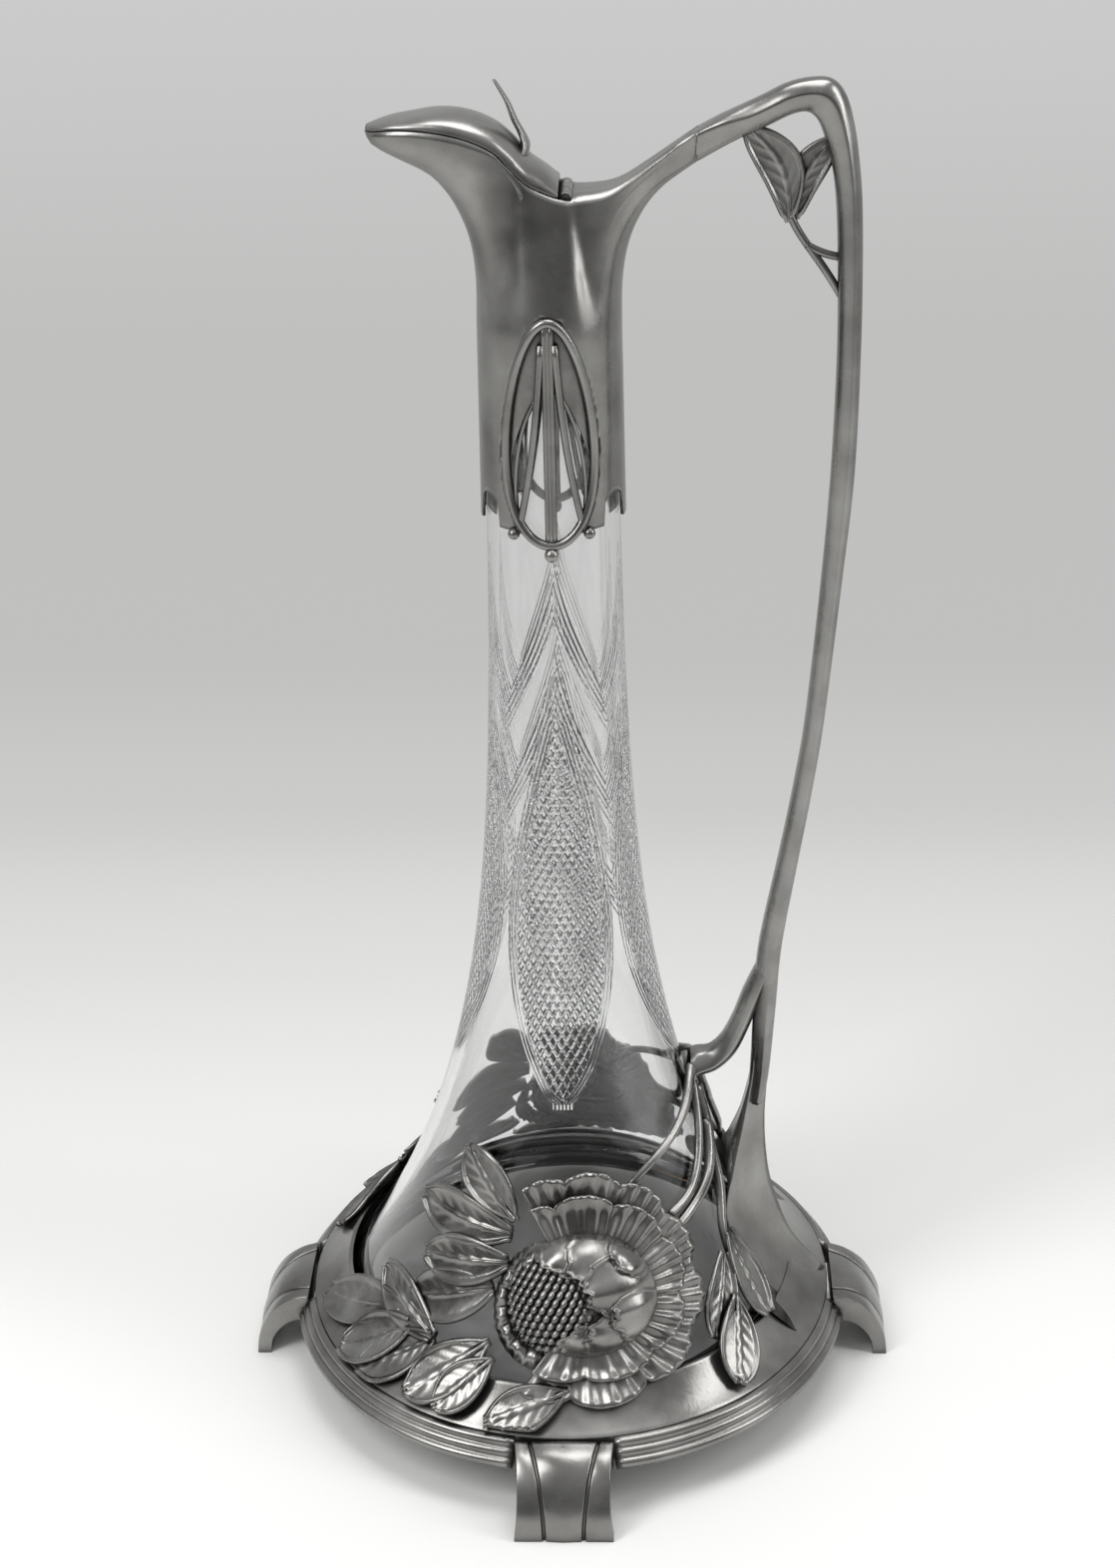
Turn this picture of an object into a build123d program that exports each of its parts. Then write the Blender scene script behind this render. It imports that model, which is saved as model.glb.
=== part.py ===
from build123d import *
import os
from math import cos, exp, pi, radians, sin, sqrt

# Claret jug: a trumpet-shaped cut glass body in a cast metal skirt on four feet, with a
# metal neck mount, a hinged lid, and a tall handle that forks above the skirt.
# Sizes are in millimetres. +Z is up, the axis of the glass is Z, the spout points to -X
# and the handle to +X. The feet stand on Z = 0. Castings are skins of flat facets.

# Glass body
neck_radius = 18.6
flare = 76.0
flare_length = 84.7
bell_length = 242.5
glass_edge = 22.0
floor_thickness = 9.0
glass_top = 345.0
body_wall = 3.6
neck_wall = 3.0

# Skirt, its reeded rim, and the seat of the glass
fit_gap = 0.3
skirt_wall = 1.2
rim_flare = 7.1
rim_fade = 8.0
rim_top = 23.0
rim_bottom = 14.0
rim_reach = 5.8
reed_count = 3
reed_bulge = 0.9
skirt_crest = 33.0
seat_width = 9.0
seat_thickness = 1.6
pad_thickness = 1.2
pad_count = 6
seat_level = rim_bottom + seat_thickness
glass_bottom = seat_level + pad_thickness

# Sail: the raised keel that climbs from the skirt to the handle
sail_top = 99.0

# Feet
foot_reach = 104.0
foot_toe = 4.6
foot_half_width = 15.0
foot_waist = 1.0
foot_groove_width = 0.9
foot_groove_depth = 0.8

# Neck mount
collar_radius = 20.8
collar_wall = 0.9
collar_taper = 0.6
collar_bottom = 290.0
collar_top = 345.0
plaster_bottom = 333.0
arch_radius = 6.0
arch_angles = (30, 150, 210, 330)
bead_radius = 1.8
mount_sides = 24

# Openwork panel on each side of the collar
panel_half_width = 14.2
panel_top = 352.0
panel_bottom = 285.0
panel_ring = 2.2
panel_proud = 1.0
panel_back = 0.4
bar_width = 2.4
bar_sink = 0.4
window_top = 331.0
window_half_width = 10.2

# Hinge and lid
hinge_x = 5.3
hinge_z = 380.8
pin_radius = 0.9
pin_clearance = 0.05
pin_head = 0.7
knuckle_radius = 1.9
knuckle_gap = 0.3
knuckle_clearance = 0.25
lid_knuckle_length = 8.6
mount_knuckle_length = 4.4
lid_gap = 0.4
lid_wall = 1.1
lid_flange = 1.0

# Handle
handle_seam_x = 41.0
section_ridge = 0.62
section_flat = 0.45
web_bottom = 78.0
web_half_width = 9.0
web_thickness = 2.2
leaf_plate = 1.2

# Relief ornament on the skirt
relief_bottom = rim_top + 0.2
relief_top = 109.0
round_sides = 60
leaf_thickness = 1.3
rib_height = 0.8
rib_width = 1.0
stalk_radius = 1.7
ruff_thickness = 2.2
head_radius = 21.5
head_height = 15.5
head_wall = 2.0
petal_count = 12
petal_depth = 0.09

os.makedirs("parts", exist_ok=True)


def spread(low, high, count, power=1.0):
    return [low + (high - low) * (i / (count - 1)) ** power for i in range(count)]


def between(table, value, column=1):
    """Straight-line reading of a table whose first column rises."""
    for low, high in zip(table, table[1:]):
        if value <= high[0]:
            break
    share = (value - low[0]) / (high[0] - low[0])
    return low[column] + (high[column] - low[column]) * share


def bell(height):
    return neck_radius + flare * exp(-height / flare_length - (height / bell_length) ** 2)


bell_levels = [rim_bottom, rim_top, skirt_crest] + spread(skirt_crest + 12, glass_top, 9, 1.4)
bell_table = [(height, bell(height)) for height in bell_levels]


def levels(low, high):
    return [low] + [z for z in bell_levels if low + 0.5 < z < high - 0.5] + [high]


def glass_radius(height):
    return between(bell_table, height)


def skirt_radius(height):
    stand_off = fit_gap + skirt_wall + rim_flare * exp((rim_top - height) / rim_fade)
    return glass_radius(height) + stand_off


def whole(shape, least=30.0):
    """Drop the slivers that cutting leaves behind."""
    return Compound([solid for solid in shape.solids() if solid.volume > least])


def save(name, shape):
    shape.label = name
    export_step(shape, f"parts/{name}.step")


def turned(points):
    """Solid of revolution about Z from a closed outline of radius and height."""
    with BuildPart() as body:
        with BuildSketch(Plane.XZ):
            Polygon(*points, align=None)
        revolve(axis=Axis.Z)
    return body.part


def side_prism(points, half_width):
    """Prism across the jug from a closed outline in the XZ plane."""
    with BuildPart() as body:
        with BuildSketch(Plane.XZ):
            Polygon(*points, align=None)
        extrude(amount=half_width, both=True)
    return body.part


def flat_face(*corners):
    return Face(Wire.make_polygon(corners))


def skin(rings):
    """Solid between closed rings of points, each ring joined to the next by flat facets."""
    facets = [flat_face(*rings[0]), flat_face(*rings[-1])]
    for low, high in zip(rings, rings[1:]):
        for i in range(len(low)):
            a, b, c, d = low[i - 1], low[i], high[i], high[i - 1]
            normal = (b - a).cross(c - a).normalized()
            if abs((d - a).dot(normal)) < 1e-6:
                facets.append(flat_face(a, b, c, d))
            else:
                facets += [flat_face(a, b, c), flat_face(a, c, d)]
    return Solid(Shell(facets))


def round_core(line, sides=round_sides, clearance=0.02):
    """Many-sided core that just encloses a surface of revolution about Z."""
    rings = []
    for radius, z in line:
        reach = radius / cos(pi / sides) + clearance
        turns = [2 * pi * (i + 0.5) / sides for i in range(sides)]
        rings.append([Vector(reach * cos(turn), reach * sin(turn), z) for turn in turns])
    return skin(rings)


# Glass body: a shell of revolution with a heavy floor
floor_top = glass_bottom + floor_thickness
outside = [(glass_radius(z), z) for z in levels(glass_edge, glass_top)]
inside = []
for z in levels(floor_top + 4, glass_top):
    thinning = (z - floor_top) / (glass_top - floor_top)
    inside.append((glass_radius(z) - body_wall + (body_wall - neck_wall) * thinning, z))
glass_body = turned(
    [(0, glass_bottom), (glass_radius(glass_edge) - 2.5, glass_bottom)]
    + outside
    + inside[::-1]
    + [(inside[0][0] - 4, floor_top), (0, floor_top)]
)
save("glass_body", glass_body)


# Skirt: a thin trumpet foot with a hem, and inside it the ledge that carries the glass
hem_radius = skirt_radius(rim_top)
hem_inside = hem_radius - skirt_wall
seat_inside = glass_radius(glass_edge) - seat_width
skirt = turned(
    [
        (seat_inside, rim_bottom),
        (hem_radius, rim_bottom),
        (hem_radius, rim_top),
        (skirt_radius(skirt_crest), skirt_crest),
        (skirt_radius(skirt_crest) - skirt_wall, skirt_crest),
        (hem_inside, rim_top),
        (hem_inside, seat_level),
        (seat_inside, seat_level),
    ]
)
save("skirt", skirt)

# Room that the skirt and the glass take up inside everything that lies on them
crest_radius = skirt_radius(skirt_crest)
metal_room = [(hem_radius, rim_bottom - 4), (hem_radius, rim_top), (crest_radius, skirt_crest)]
glass_line = [(skirt_radius(z) - skirt_wall, z) for z in levels(skirt_crest + 0.03, relief_top + 12)]
inner_room = round_core(metal_room + glass_line)

# Cork pads between the ledge and the glass
with BuildPart() as seat_pads:
    with BuildSketch(Plane.XY.offset(seat_level)):
        with PolarLocations(seat_inside + seat_width / 2, pad_count):
            Rectangle(seat_width / 2, 2 * seat_width)
    extrude(amount=pad_thickness)
save("seat_pads", seat_pads.part)

# Rim: a reeded band round the hem, broken where each foot crosses it
rim_start = (hem_radius + rim_reach, rim_bottom + 1.4)
rim_end = (hem_radius + 0.5, rim_top - 0.2)


def rim_point(share, bulge=0.0):
    """Point along the slope of the reeds, pushed outwards by the bulge."""
    run = rim_end[0] - rim_start[0]
    rise = rim_end[1] - rim_start[1]
    length = sqrt(run**2 + rise**2)
    return (
        rim_start[0] + run * share + bulge * rise / length,
        rim_start[1] + rise * share - bulge * run / length,
    )


rim_outline = [(hem_radius, rim_bottom), (rim_start[0] - 1.2, rim_bottom)]
for i in range(reed_count):
    rim_outline += [rim_point(i / reed_count), rim_point((i + 0.5) / reed_count, reed_bulge)]
rim_outline += [rim_end, (hem_radius, rim_top)]
foot_slot = Box(
    2 * foot_reach, 2 * foot_half_width + 0.6, 4 * rim_top, align=(Align.MIN, Align.CENTER, Align.CENTER)
)
rim_band = turned(rim_outline) - [Rot(0, 0, angle) * foot_slot for angle in (0, 90, 180, 270)]
save("rim_band", rim_band)


# Feet: a waisted scroll that springs from the top of the rim, with two curved grooves
def foot_side(trim=0.0):
    crest = (
        (hem_radius, rim_top - trim),
        (foot_reach - 12.5, rim_top - 1.9 - trim),
        (foot_reach - 7.0, rim_top - 5.6 - trim),
        (foot_reach - 3.2 - 0.6 * trim, rim_top - 11 - 0.6 * trim),
        (foot_reach - 0.8 - trim, rim_top - 17),
        (foot_reach - trim, 0),
    )
    under = (
        (foot_reach - foot_toe, 0),
        (foot_reach - foot_toe - 0.8, rim_bottom - 9),
        (foot_reach - foot_toe - 3.4, rim_bottom - 4),
        (foot_reach - foot_toe - 8.0, rim_bottom - 1),
        (hem_radius, rim_bottom - 0.6),
    )
    return crest + under


foot_plan = []
for side in (-1, 1):
    for reach, width in (
        (hem_radius, foot_half_width),
        ((hem_radius + foot_reach) / 2, foot_half_width - foot_waist),
        (foot_reach + 2, foot_half_width),
    )[::side]:
        foot_plan.append((reach, -side * width))
with BuildPart() as foot_block:
    with BuildSketch():
        Polygon(*foot_plan, align=None)
    extrude(amount=rim_top + 1)
groove_line = ((9.6, rim_top + 1), (7.0, rim_bottom), (5.6, 5.0), (5.2, -1.0))
with BuildPart() as foot_grooves:
    with BuildSketch(Plane.YZ.offset(hem_radius - 2)):
        for side in (-1, 1):
            near = [(side * y, z) for y, z in groove_line]
            far = [(side * (y + foot_groove_width), z) for y, z in groove_line]
            Polygon(*(near + far[::-1]), align=None)
    extrude(amount=2 * (foot_reach - hem_radius))
foot_solid = side_prism(foot_side(), 2 * foot_half_width) & foot_block.part
foot_core = side_prism(foot_side(foot_groove_depth), 2 * foot_half_width)
foot = foot_solid - (foot_grooves.part - foot_core) - Cylinder(hem_radius, 4 * rim_top)
for name, turn in (("foot_right", 0), ("foot_back", 90), ("foot_left", 180), ("foot_front", 270)):
    save(name, Rot(0, 0, turn) * foot)

# Sail: four-cornered sections that narrow from the skirt to the root of the handle
sail_sections = (
    # height, keel, front edge, half width of the front edge
    (rim_top + 1, 84.0, 74.0, 36.0),
    (39, 72.6, 60.0, 35.0),
    (57, 66.2, 50.6, 24.0),
    (70, 64.0, 52.5, 13.5),
    (84, 63.3, 56.0, 7.0),
    (sail_top, 64.2, 58.7, 4.6),
)
sail_rings = []
for height, keel_x, edge_x, half in sail_sections:
    corners = ((edge_x - 3, 0), (edge_x, -half), (keel_x, 0), (edge_x, half))
    sail_rings.append([Vector(x, y, height) for x, y in corners])
sail = skin(sail_rings) - inner_room
save("sail", sail)


# Neck mount: egg-shaped sections that open into the spout and draw out into the arm
def collar_outside(height):
    return collar_radius - collar_taper * (height - collar_bottom) / (collar_top - collar_bottom)


def collar_section(height, wall=0.0):
    radius = collar_outside(height) - wall
    return (height, -radius, radius, radius, 0.0)


mount_sections = (
    # height, spout side, arm side, half width, how far the arm side is drawn in
    collar_section(collar_bottom),
    collar_section(collar_top),
    (358, -20.0, 20.6, 18.9, 0.05),
    (368, -21.2, 22.6, 17.4, 0.15),
    (376, -24.0, 26.4, 16.6, 0.3),
    (382, -27.6, 31.5, 16.2, 0.45),
    (387, -32.6, 38.5, 16.2, 0.58),
    (391.5, -41.6, 45.5, 16.4, 0.68),
    (395, -47.3, 51.5, 16.6, 0.7),
    (403, -49.5, 64.0, 17.2, 0.72),
)
throat_sections = (
    collar_section(collar_bottom - 5, collar_wall),
    collar_section(collar_top, collar_wall),
    (358, -18.8, 17.8, 17.4, 0.0),
    (368, -19.9, 13.0, 15.6, 0.0),
    (376, -22.4, 6.0, 13.6, 0.0),
    (382, -25.9, 3.2, 12.6, 0.0),
    (387, -30.6, 2.2, 12.4, 0.0),
    (391.5, -39.6, 1.6, 12.0, 0.0),
    (395, -45.4, 1.2, 12.2, 0.0),
    (403, -48.0, 1.0, 12.6, 0.0),
)


def egg(x_low, x_high, half_width, taper):
    centre = (x_low + x_high) / 2
    reach = (x_high - x_low) / 2
    points = []
    for i in range(mount_sides):
        t = 2 * pi * i / mount_sides
        draw_in = 1 - taper * (1 + cos(t)) / 2
        points.append((centre + reach * cos(t), half_width * draw_in * sin(t)))
    return points


def egg_skin(sections):
    return skin([[Vector(x, y, height) for x, y in egg(*shape)] for height, *shape in sections])


mouth_line = (
    (-52, 397.6), (-47.5, 398.2), (-40, 399.4), (-30.5, 399.2), (-21, 397.2),
    (-13.5, 393.6), (-9, 388.9), (-4.9, 385.2), (0, 382.8), (3.4, 381.6),
)
arm_line = ((7.2, 380.8), (15.2, 381.4), (20.8, 383.4), (28.2, 388.4), (handle_seam_x, 397.2))
above_mouth = side_prism(mouth_line + arm_line + ((70, 420), (-60, 420), (-60, 397.6)), 40)
past_seam = Pos(handle_seam_x, 0, 390) * Box(60, 60, 60, align=(Align.MIN, Align.CENTER, Align.CENTER))
mount_shell = egg_skin(mount_sections) - egg_skin(throat_sections) - above_mouth - past_seam


# Openwork panel: a pear-shaped ring with three bars, let into a window of the collar
def pear(inset=0.0):
    """Half widths and heights of the panel's outline, from its foot to its point."""
    low, high = panel_bottom + inset, panel_top - 1.8 * inset
    points = []
    for angle in spread(0, pi, 10):
        rise = (1 - cos(angle)) / 2
        width = 1.19 * (panel_half_width - inset) * sin(angle) * (1 - 0.35 * rise)
        points.append((width, low + (high - low) * rise))
    return points


def mirrored(points):
    return points + [(-x, z) for x, z in points[::-1] if abs(x) > 0.01]


def front_prism(outlines):
    """Prism from the axis out to -Y, from closed outlines in the XZ plane."""
    with BuildPart() as body:
        with BuildSketch(Plane.XZ):
            for points in outlines:
                Polygon(*points, align=None)
        extrude(amount=2 * collar_radius)
    return body.part


def collar_core(stand_off):
    """The collar's own many-sided form, grown outwards by a stand-off."""
    sections = []
    for height in (panel_bottom - 8, panel_top + 8):
        radius = collar_outside(height) + stand_off
        sections.append((height, -radius, radius, radius, 0.0))
    return egg_skin(sections)


bar_lines = []
for side in (-1, 0, 1):
    centre = ((1.9, panel_top), (3.0, 320), (5.2, 304), (9.8, panel_bottom + 2))
    left = [(side * x - bar_width / 2, z) for x, z in centre]
    right = [(side * x + bar_width / 2, z) for x, z in centre]
    bar_lines.append(left + right[::-1])
window_line = []
for angle in spread(0, pi, 9):
    rise = (1 - cos(angle)) / 2
    window_line.append(
        (window_half_width * sin(angle), panel_bottom + panel_ring + (window_top - panel_bottom - panel_ring) * rise)
    )
bars = front_prism(bar_lines)
inner_pear = front_prism([mirrored(pear(panel_ring))])
pear_block = (front_prism([mirrored(pear())]) & collar_core(panel_proud)) - collar_core(-collar_wall)
sunk_field = (inner_pear - bars) - collar_core(-panel_back)
low_bars = (inner_pear & bars) - collar_core(panel_proud - bar_sink)
openings = (front_prism([mirrored(window_line)]) & front_prism([mirrored(pear(panel_ring))])) - bars
reed_panel = whole(pear_block - sunk_field - low_bars - openings)
save("panel_front", reed_panel)
save("panel_back", mirror(reed_panel, about=Plane.XZ))


# Hinge: a pin through one knuckle of the lid and two of the mount
def barrel(length, offset, radius):
    return Pos(hinge_x, offset, hinge_z) * Rot(90, 0, 0) * Cylinder(radius, length)


lid_half = lid_knuckle_length / 2
mount_offset = lid_half + knuckle_gap + mount_knuckle_length / 2
pin_length = 2 * (lid_half + knuckle_gap + mount_knuckle_length)
pin_parts = [barrel(pin_length, 0, pin_radius)]
mount_knuckles = []
for side in (-1, 1):
    pin_parts.append(barrel(pin_head, side * (pin_length + pin_head) / 2, pin_radius * 1.35))
    mount_knuckles.append(barrel(mount_knuckle_length, side * mount_offset, knuckle_radius))
hinge_pin = pin_parts[0] + pin_parts[1:]
save("hinge_pin", hinge_pin)

# Neck mount, cut by the panels, the arches of its lower edge and the hinge
arch_plane = Plane(origin=(0, 0, collar_bottom + arch_radius / 2), x_dir=(0, 1, 0), z_dir=(1, 0, 0))
with BuildPart() as arch:
    with BuildSketch(arch_plane):
        RegularPolygon(arch_radius, 12)
    extrude(amount=2 * collar_radius)
pear_window = front_prism([mirrored(pear())])
hinge_slot = barrel(lid_knuckle_length + 2 * knuckle_gap, 0, knuckle_radius + knuckle_clearance)
cutters = [pear_window, mirror(pear_window, about=Plane.XZ), hinge_slot, hinge_pin]
for angle in arch_angles:
    cutters.append(Rot(0, 0, angle) * arch.part)
neck_mount = whole((mount_shell + mount_knuckles) - cutters)
save("neck_mount", neck_mount)

# Beads below each panel
bead_rings = []
for height, share in ((-0.85, 0.5), (0, 1.0), (0.85, 0.5)):
    corners = [2 * pi * i / 8 for i in range(8)]
    reach = share * bead_radius
    bead_rings.append([Vector(reach * cos(t), reach * sin(t), height * bead_radius) for t in corners])
bead = skin(bead_rings)
bead_line = glass_radius(panel_bottom) + fit_gap + bead_radius
bead_places = ((-10.8, panel_bottom + 4.4), (0, panel_bottom - 0.7 * bead_radius), (10.8, panel_bottom + 4.4))
bead_solids = []
for x, z in bead_places:
    placed = Pos(x, -sqrt(bead_line**2 - x**2), z) * bead - [reed_panel, neck_mount]
    bead_solids.append(placed.solids().sort_by(SortBy.VOLUME)[-1])
bead_row = Compound(bead_solids)
save("beads_front", bead_row)
save("beads_back", mirror(bead_row, about=Plane.XZ))

# Plaster between the neck of the glass and the mount
plaster_sections = []
for height in (plaster_bottom, collar_top):
    radius = collar_outside(height) - collar_wall - 0.02
    plaster_sections.append((height, -radius, radius, radius, 0.0))
glass_neck = [(glass_radius(z), z) for z in (plaster_bottom - 1, collar_top + 1)]
plaster = egg_skin(plaster_sections) - round_core(glass_neck)
save("neck_plaster", plaster)


# Lid: a low dome that follows the mouth line from the tip of the spout to the hinge
def mount_half_width(x, z):
    x_low, x_high, half, taper = (between(mount_sections, z, column) for column in (1, 2, 3, 4))
    along = max(-1.0, min(1.0, (2 * x - x_low - x_high) / (x_high - x_low)))
    return half * (1 - taper * (1 + along) / 2) * sqrt(1 - along**2)


dome_rise = (
    (-48.2, 1.2), (-45.0, 1.6), (-40.0, 2.0), (-35.5, 2.6), (-30.5, 3.8), (-26.0, 4.6),
    (-21.0, 5.2), (-13.5, 5.8), (-9.0, 6.9), (-4.9, 5.8), (0.0, 4.4), (3.4, 2.3),
)


def dome(x, rise, trim=0.0, drop=0.0):
    """Section of the lid at one station, made smaller all round by the trim."""
    seat = between(mouth_line, x) + lid_gap - drop
    half = max(1.2, mount_half_width(x, seat)) - 1.8 * trim
    top = seat + drop + rise - trim
    shoulder = min(seat + drop + lid_flange / 2, (seat + top) / 2)
    points = [(-half, seat), (half, seat)]
    for angle in spread(0, pi, 7):
        points.append((0.99 * half * cos(angle), shoulder + (top - shoulder) * sin(angle)))
    return [Vector(x, y, z) for y, z in points]


lid_dome = skin([dome(x, rise) for x, rise in dome_rise])
lid_hollow = skin([dome(x, rise, trim=lid_wall, drop=1.0) for x, rise in dome_rise[3:-1]])
knuckle_room = barrel(pin_length + 2 * pin_head + 1, 0, knuckle_radius + knuckle_clearance)
strap = Pos(0, 0, hinge_z + 1.4) * Box(
    hinge_x - lid_gap, lid_knuckle_length, 1.0, align=(Align.MIN, Align.CENTER, Align.MIN)
)
lid = lid_dome - lid_hollow - knuckle_room + [strap, barrel(lid_knuckle_length, 0, knuckle_radius)]
lid = whole(lid - barrel(lid_knuckle_length + 1, 0, pin_radius + pin_clearance))
save("lid", lid)

# Thumb piece on the back of the lid
thumb_sections = (
    # height, centre, half width, half thickness
    (391, -6.4, 6.2, 2.0),
    (394, -5.4, 4.4, 1.4),
    (397, -6.4, 2.6, 1.1),
    (400.5, -8.2, 2.1, 1.0),
    (405, -9.9, 1.8, 0.8),
    (409, -12.2, 1.5, 0.6),
    (411, -13.4, 1.1, 0.5),
)
thumb_rings = []
for height, x, half, thick in thumb_sections:
    turns = spread(0, 7 * pi / 4, 8)
    thumb_rings.append([Vector(x + thick * cos(turn), half * sin(turn), height) for turn in turns])
thumb_piece = (skin(thumb_rings) - lid_dome).solids().sort_by(Axis.Z)[-1]
save("thumb_piece", thumb_piece)

# Handle: a six-sided bar lofted through stations, forked above the skirt
handle_stations = (
    # inner point, outer point, half width
    ((handle_seam_x, 388.9), (handle_seam_x, 397.2), 5.6),
    ((51.6, 394.6), (48.6, 401.3), 5.4),
    ((60.3, 398.5), (57.9, 405.5), 5.2),
    ((65.8, 401.0), (64.4, 408.6), 5.2),
    ((69.6, 401.7), (70.6, 410.4), 5.2),
    ((71.9, 400.5), (76.4, 410.0), 5.2),
    ((73.6, 398.1), (80.2, 405.4), 5.2),
    ((75.2, 393.8), (82.5, 398.0), 5.2),
    ((76.9, 388.0), (83.9, 390.2), 5.2),
    ((78.4, 377.5), (85.2, 378.5), 5.2),
    ((79.3, 361.0), (85.9, 361.5), 5.2),
    ((79.8, 335.0), (86.2, 335.0), 5.2),
    ((79.0, 301.0), (85.5, 300.3), 5.1),
    ((77.1, 269.0), (82.9, 268.2), 5.0),
    ((73.5, 225.0), (78.8, 223.8), 4.8),
    ((70.4, 202.0), (75.8, 200.6), 4.8),
    ((66.3, 178.0), (72.0, 176.3), 4.8),
    ((61.8, 154.0), (68.2, 151.8), 4.9),
    ((60.0, 141.0), (66.9, 139.4), 4.9),
    ((59.4, 128.0), (66.2, 127.2), 4.8),
    ((58.7, 107.0), (64.8, 106.8), 4.6),
    ((58.7, sail_top), (64.2, sail_top), 4.6),
)
branch_stations = (
    ((61.4, 141.0), (65.4, 136.0), 4.0),
    ((56.3, 131.0), (61.4, 128.0), 4.6),
    ((52.8, 121.0), (57.9, 118.0), 4.6),
    ((49.2, 113.4), (53.8, 108.5), 4.6),
    ((45.4, 109.2), (48.2, 102.4), 4.6),
    ((41.0, 108.2), (41.4, 101.0), 4.6),
    ((34.0, 108.6), (34.0, 101.0), 4.6),
)


def bar(stations):
    """Six-sided bar: flat inner and outer faces, widest at the ridge line."""
    rings = []
    for inner, outer, half in stations:
        low, high = Vector(inner[0], 0, inner[1]), Vector(outer[0], 0, outer[1])
        side = Vector(0, half, 0)
        ridge = low + (high - low) * section_ridge
        flat = side * section_flat
        rings.append([low - flat, ridge - side, high - flat, high + flat, ridge + side, low + flat])
    return skin(rings)


def relief_core(stand_off):
    """Core whose faces lie at a stand-off from the skirt's outer surface."""
    return round_core([(skirt_radius(z) + stand_off, z) for z in levels(relief_bottom, relief_top)])


web_mid = (web_bottom + relief_top) / 2
web_half = [
    (0, web_bottom),
    (0.7 * web_half_width, web_mid - 7),
    (web_half_width, web_mid),
    (0.8 * web_half_width, web_mid + 9),
    (0, relief_top - 1),
]
with BuildPart() as web_prism:
    with BuildSketch(Plane.YZ):
        Polygon(*mirrored(web_half), align=None)
    extrude(amount=foot_reach)
web = web_prism.part & relief_core(web_thickness - skirt_wall)
handle = whole(bar(handle_stations) + [bar(branch_stations), web] - [inner_room, sail])
save("handle", handle)

# Pair of leaves on a stem, in the corner of the handle
corner_leaves = (
    (
        (50.6, 398.5), (52.4, 391.0), (54.4, 385.5), (59.2, 379.0),
        (66.2, 371.2), (66.4, 380.7), (64.6, 391.0), (61.0, 401.0),
    ),
    ((66.2, 371.2), (66.8, 383.1), (68.8, 390.0), (74.6, 396.0), (79.5, 392.0), (77.6, 382.9), (73.1, 378.0)),
)
stem_line = (
    (64.4, 375.0), (69.0, 371.4), (73.4, 364.7), (80.6, 362.4), (80.6, 355.2), (72.8, 361.8), (65.4, 369.4),
)
leaf_pair = side_prism(stem_line, 1.6 * leaf_plate)
for outline in corner_leaves:
    leaf_pair = leaf_pair + side_prism(outline, leaf_plate)
leaf_pair = whole(leaf_pair - handle - neck_mount)
save("handle_leaves", leaf_pair)


# Relief ornament: flower, leaves and stalks that lie on the skirt and over the glass
def on_skirt(angle, height, stand_off=0.0):
    radius = skirt_radius(height) + stand_off
    return Vector(radius * cos(radians(angle)), radius * sin(radians(angle)), height)


def skirt_normal(angle, height):
    slope = (skirt_radius(height + 2) - skirt_radius(height - 2)) / 4
    return Vector(cos(radians(angle)), sin(radians(angle)), -slope).normalized()


def blade(base, tip, half_width, fullness=0.55):
    """Prism with a leaf outline, square to the skirt halfway between base and tip."""
    start, end = on_skirt(*base), on_skirt(*tip)
    outward = skirt_normal((base[0] + tip[0]) / 2, (base[1] + tip[1]) / 2)
    length = (end - start).length
    edge = []
    for share in (0.0, 0.18, 0.42, 0.66, 0.86, 1.0):
        width = half_width * sin(pi * share ** (0.5 / fullness)) ** 0.8 if 0 < share < 1 else 0
        edge.append((share * length, width))
    leaf_plane = Plane(origin=start, x_dir=end - start, z_dir=outward)
    with BuildSketch(leaf_plane) as outline:
        Polygon(*(edge + [(x, -y) for x, y in edge[-2:0:-1]]), align=None)
    with BuildSketch(leaf_plane) as rib:
        Polygon((0, -rib_width / 2), (0, rib_width / 2), (0.8 * length, 0.15), (0.8 * length, -0.15), align=None)
    return extrude(outline.sketch, amount=14, both=True), extrude(rib.sketch, amount=14, both=True)


def relief(blades, outer, taken):
    """Blades and their ribs between the glass and a stand-off, cut by what is already there."""
    leaves, ribs = relief_core(outer), relief_core(outer + rib_height)
    pieces = [outline & leaves for outline, rib in blades] + [rib & ribs for outline, rib in blades]
    return whole((pieces[0] + pieces[1:]) - [inner_room] - taken)


head_centre = (-84.0, 57.0)
head_plane = Plane(origin=on_skirt(*head_centre), z_dir=skirt_normal(*head_centre))


def ring(radius, height):
    """Scalloped ring of petals in the plane of the flower head."""
    points = []
    for i in range(2 * petal_count):
        reach = radius * (1 - petal_depth * (i % 2))
        turn = pi * i / petal_count
        points.append(head_plane.from_local_coords(Vector(reach * cos(turn), reach * sin(turn), height)))
    return points


head_profile = ((-9, 0.98), (2, 1.0), (7.5, 0.86), (12.0, 0.58), (15.5, 0.2))
head_shells = []
for trim in (0.0, head_wall):
    rings = []
    for height, share in head_profile:
        lift = height * head_height / head_profile[-1][0] - (trim if height > 0 else -trim)
        rings.append(ring(share * head_radius - trim * (0.4 if share < 0.5 else 1), lift))
    head_shells.append(skin(rings))
head = head_shells[0] - head_shells[1] - inner_room
head = head.solids().sort_by(SortBy.VOLUME)[-1]

ruff_tips = ((-81, 94), (-101, 86), (-53, 84), (-47, 50), (-63, 29), (-74, 25), (-89, 33), (-106, 66))
ruff_blades = [blade(head_centre, tip, 8.0, 0.75) for tip in ruff_tips]
both_sails = [sail, mirror(sail, about=Plane.XZ)]
ruff = relief(ruff_blades, ruff_thickness, both_sails + [head_shells[0]])

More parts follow.
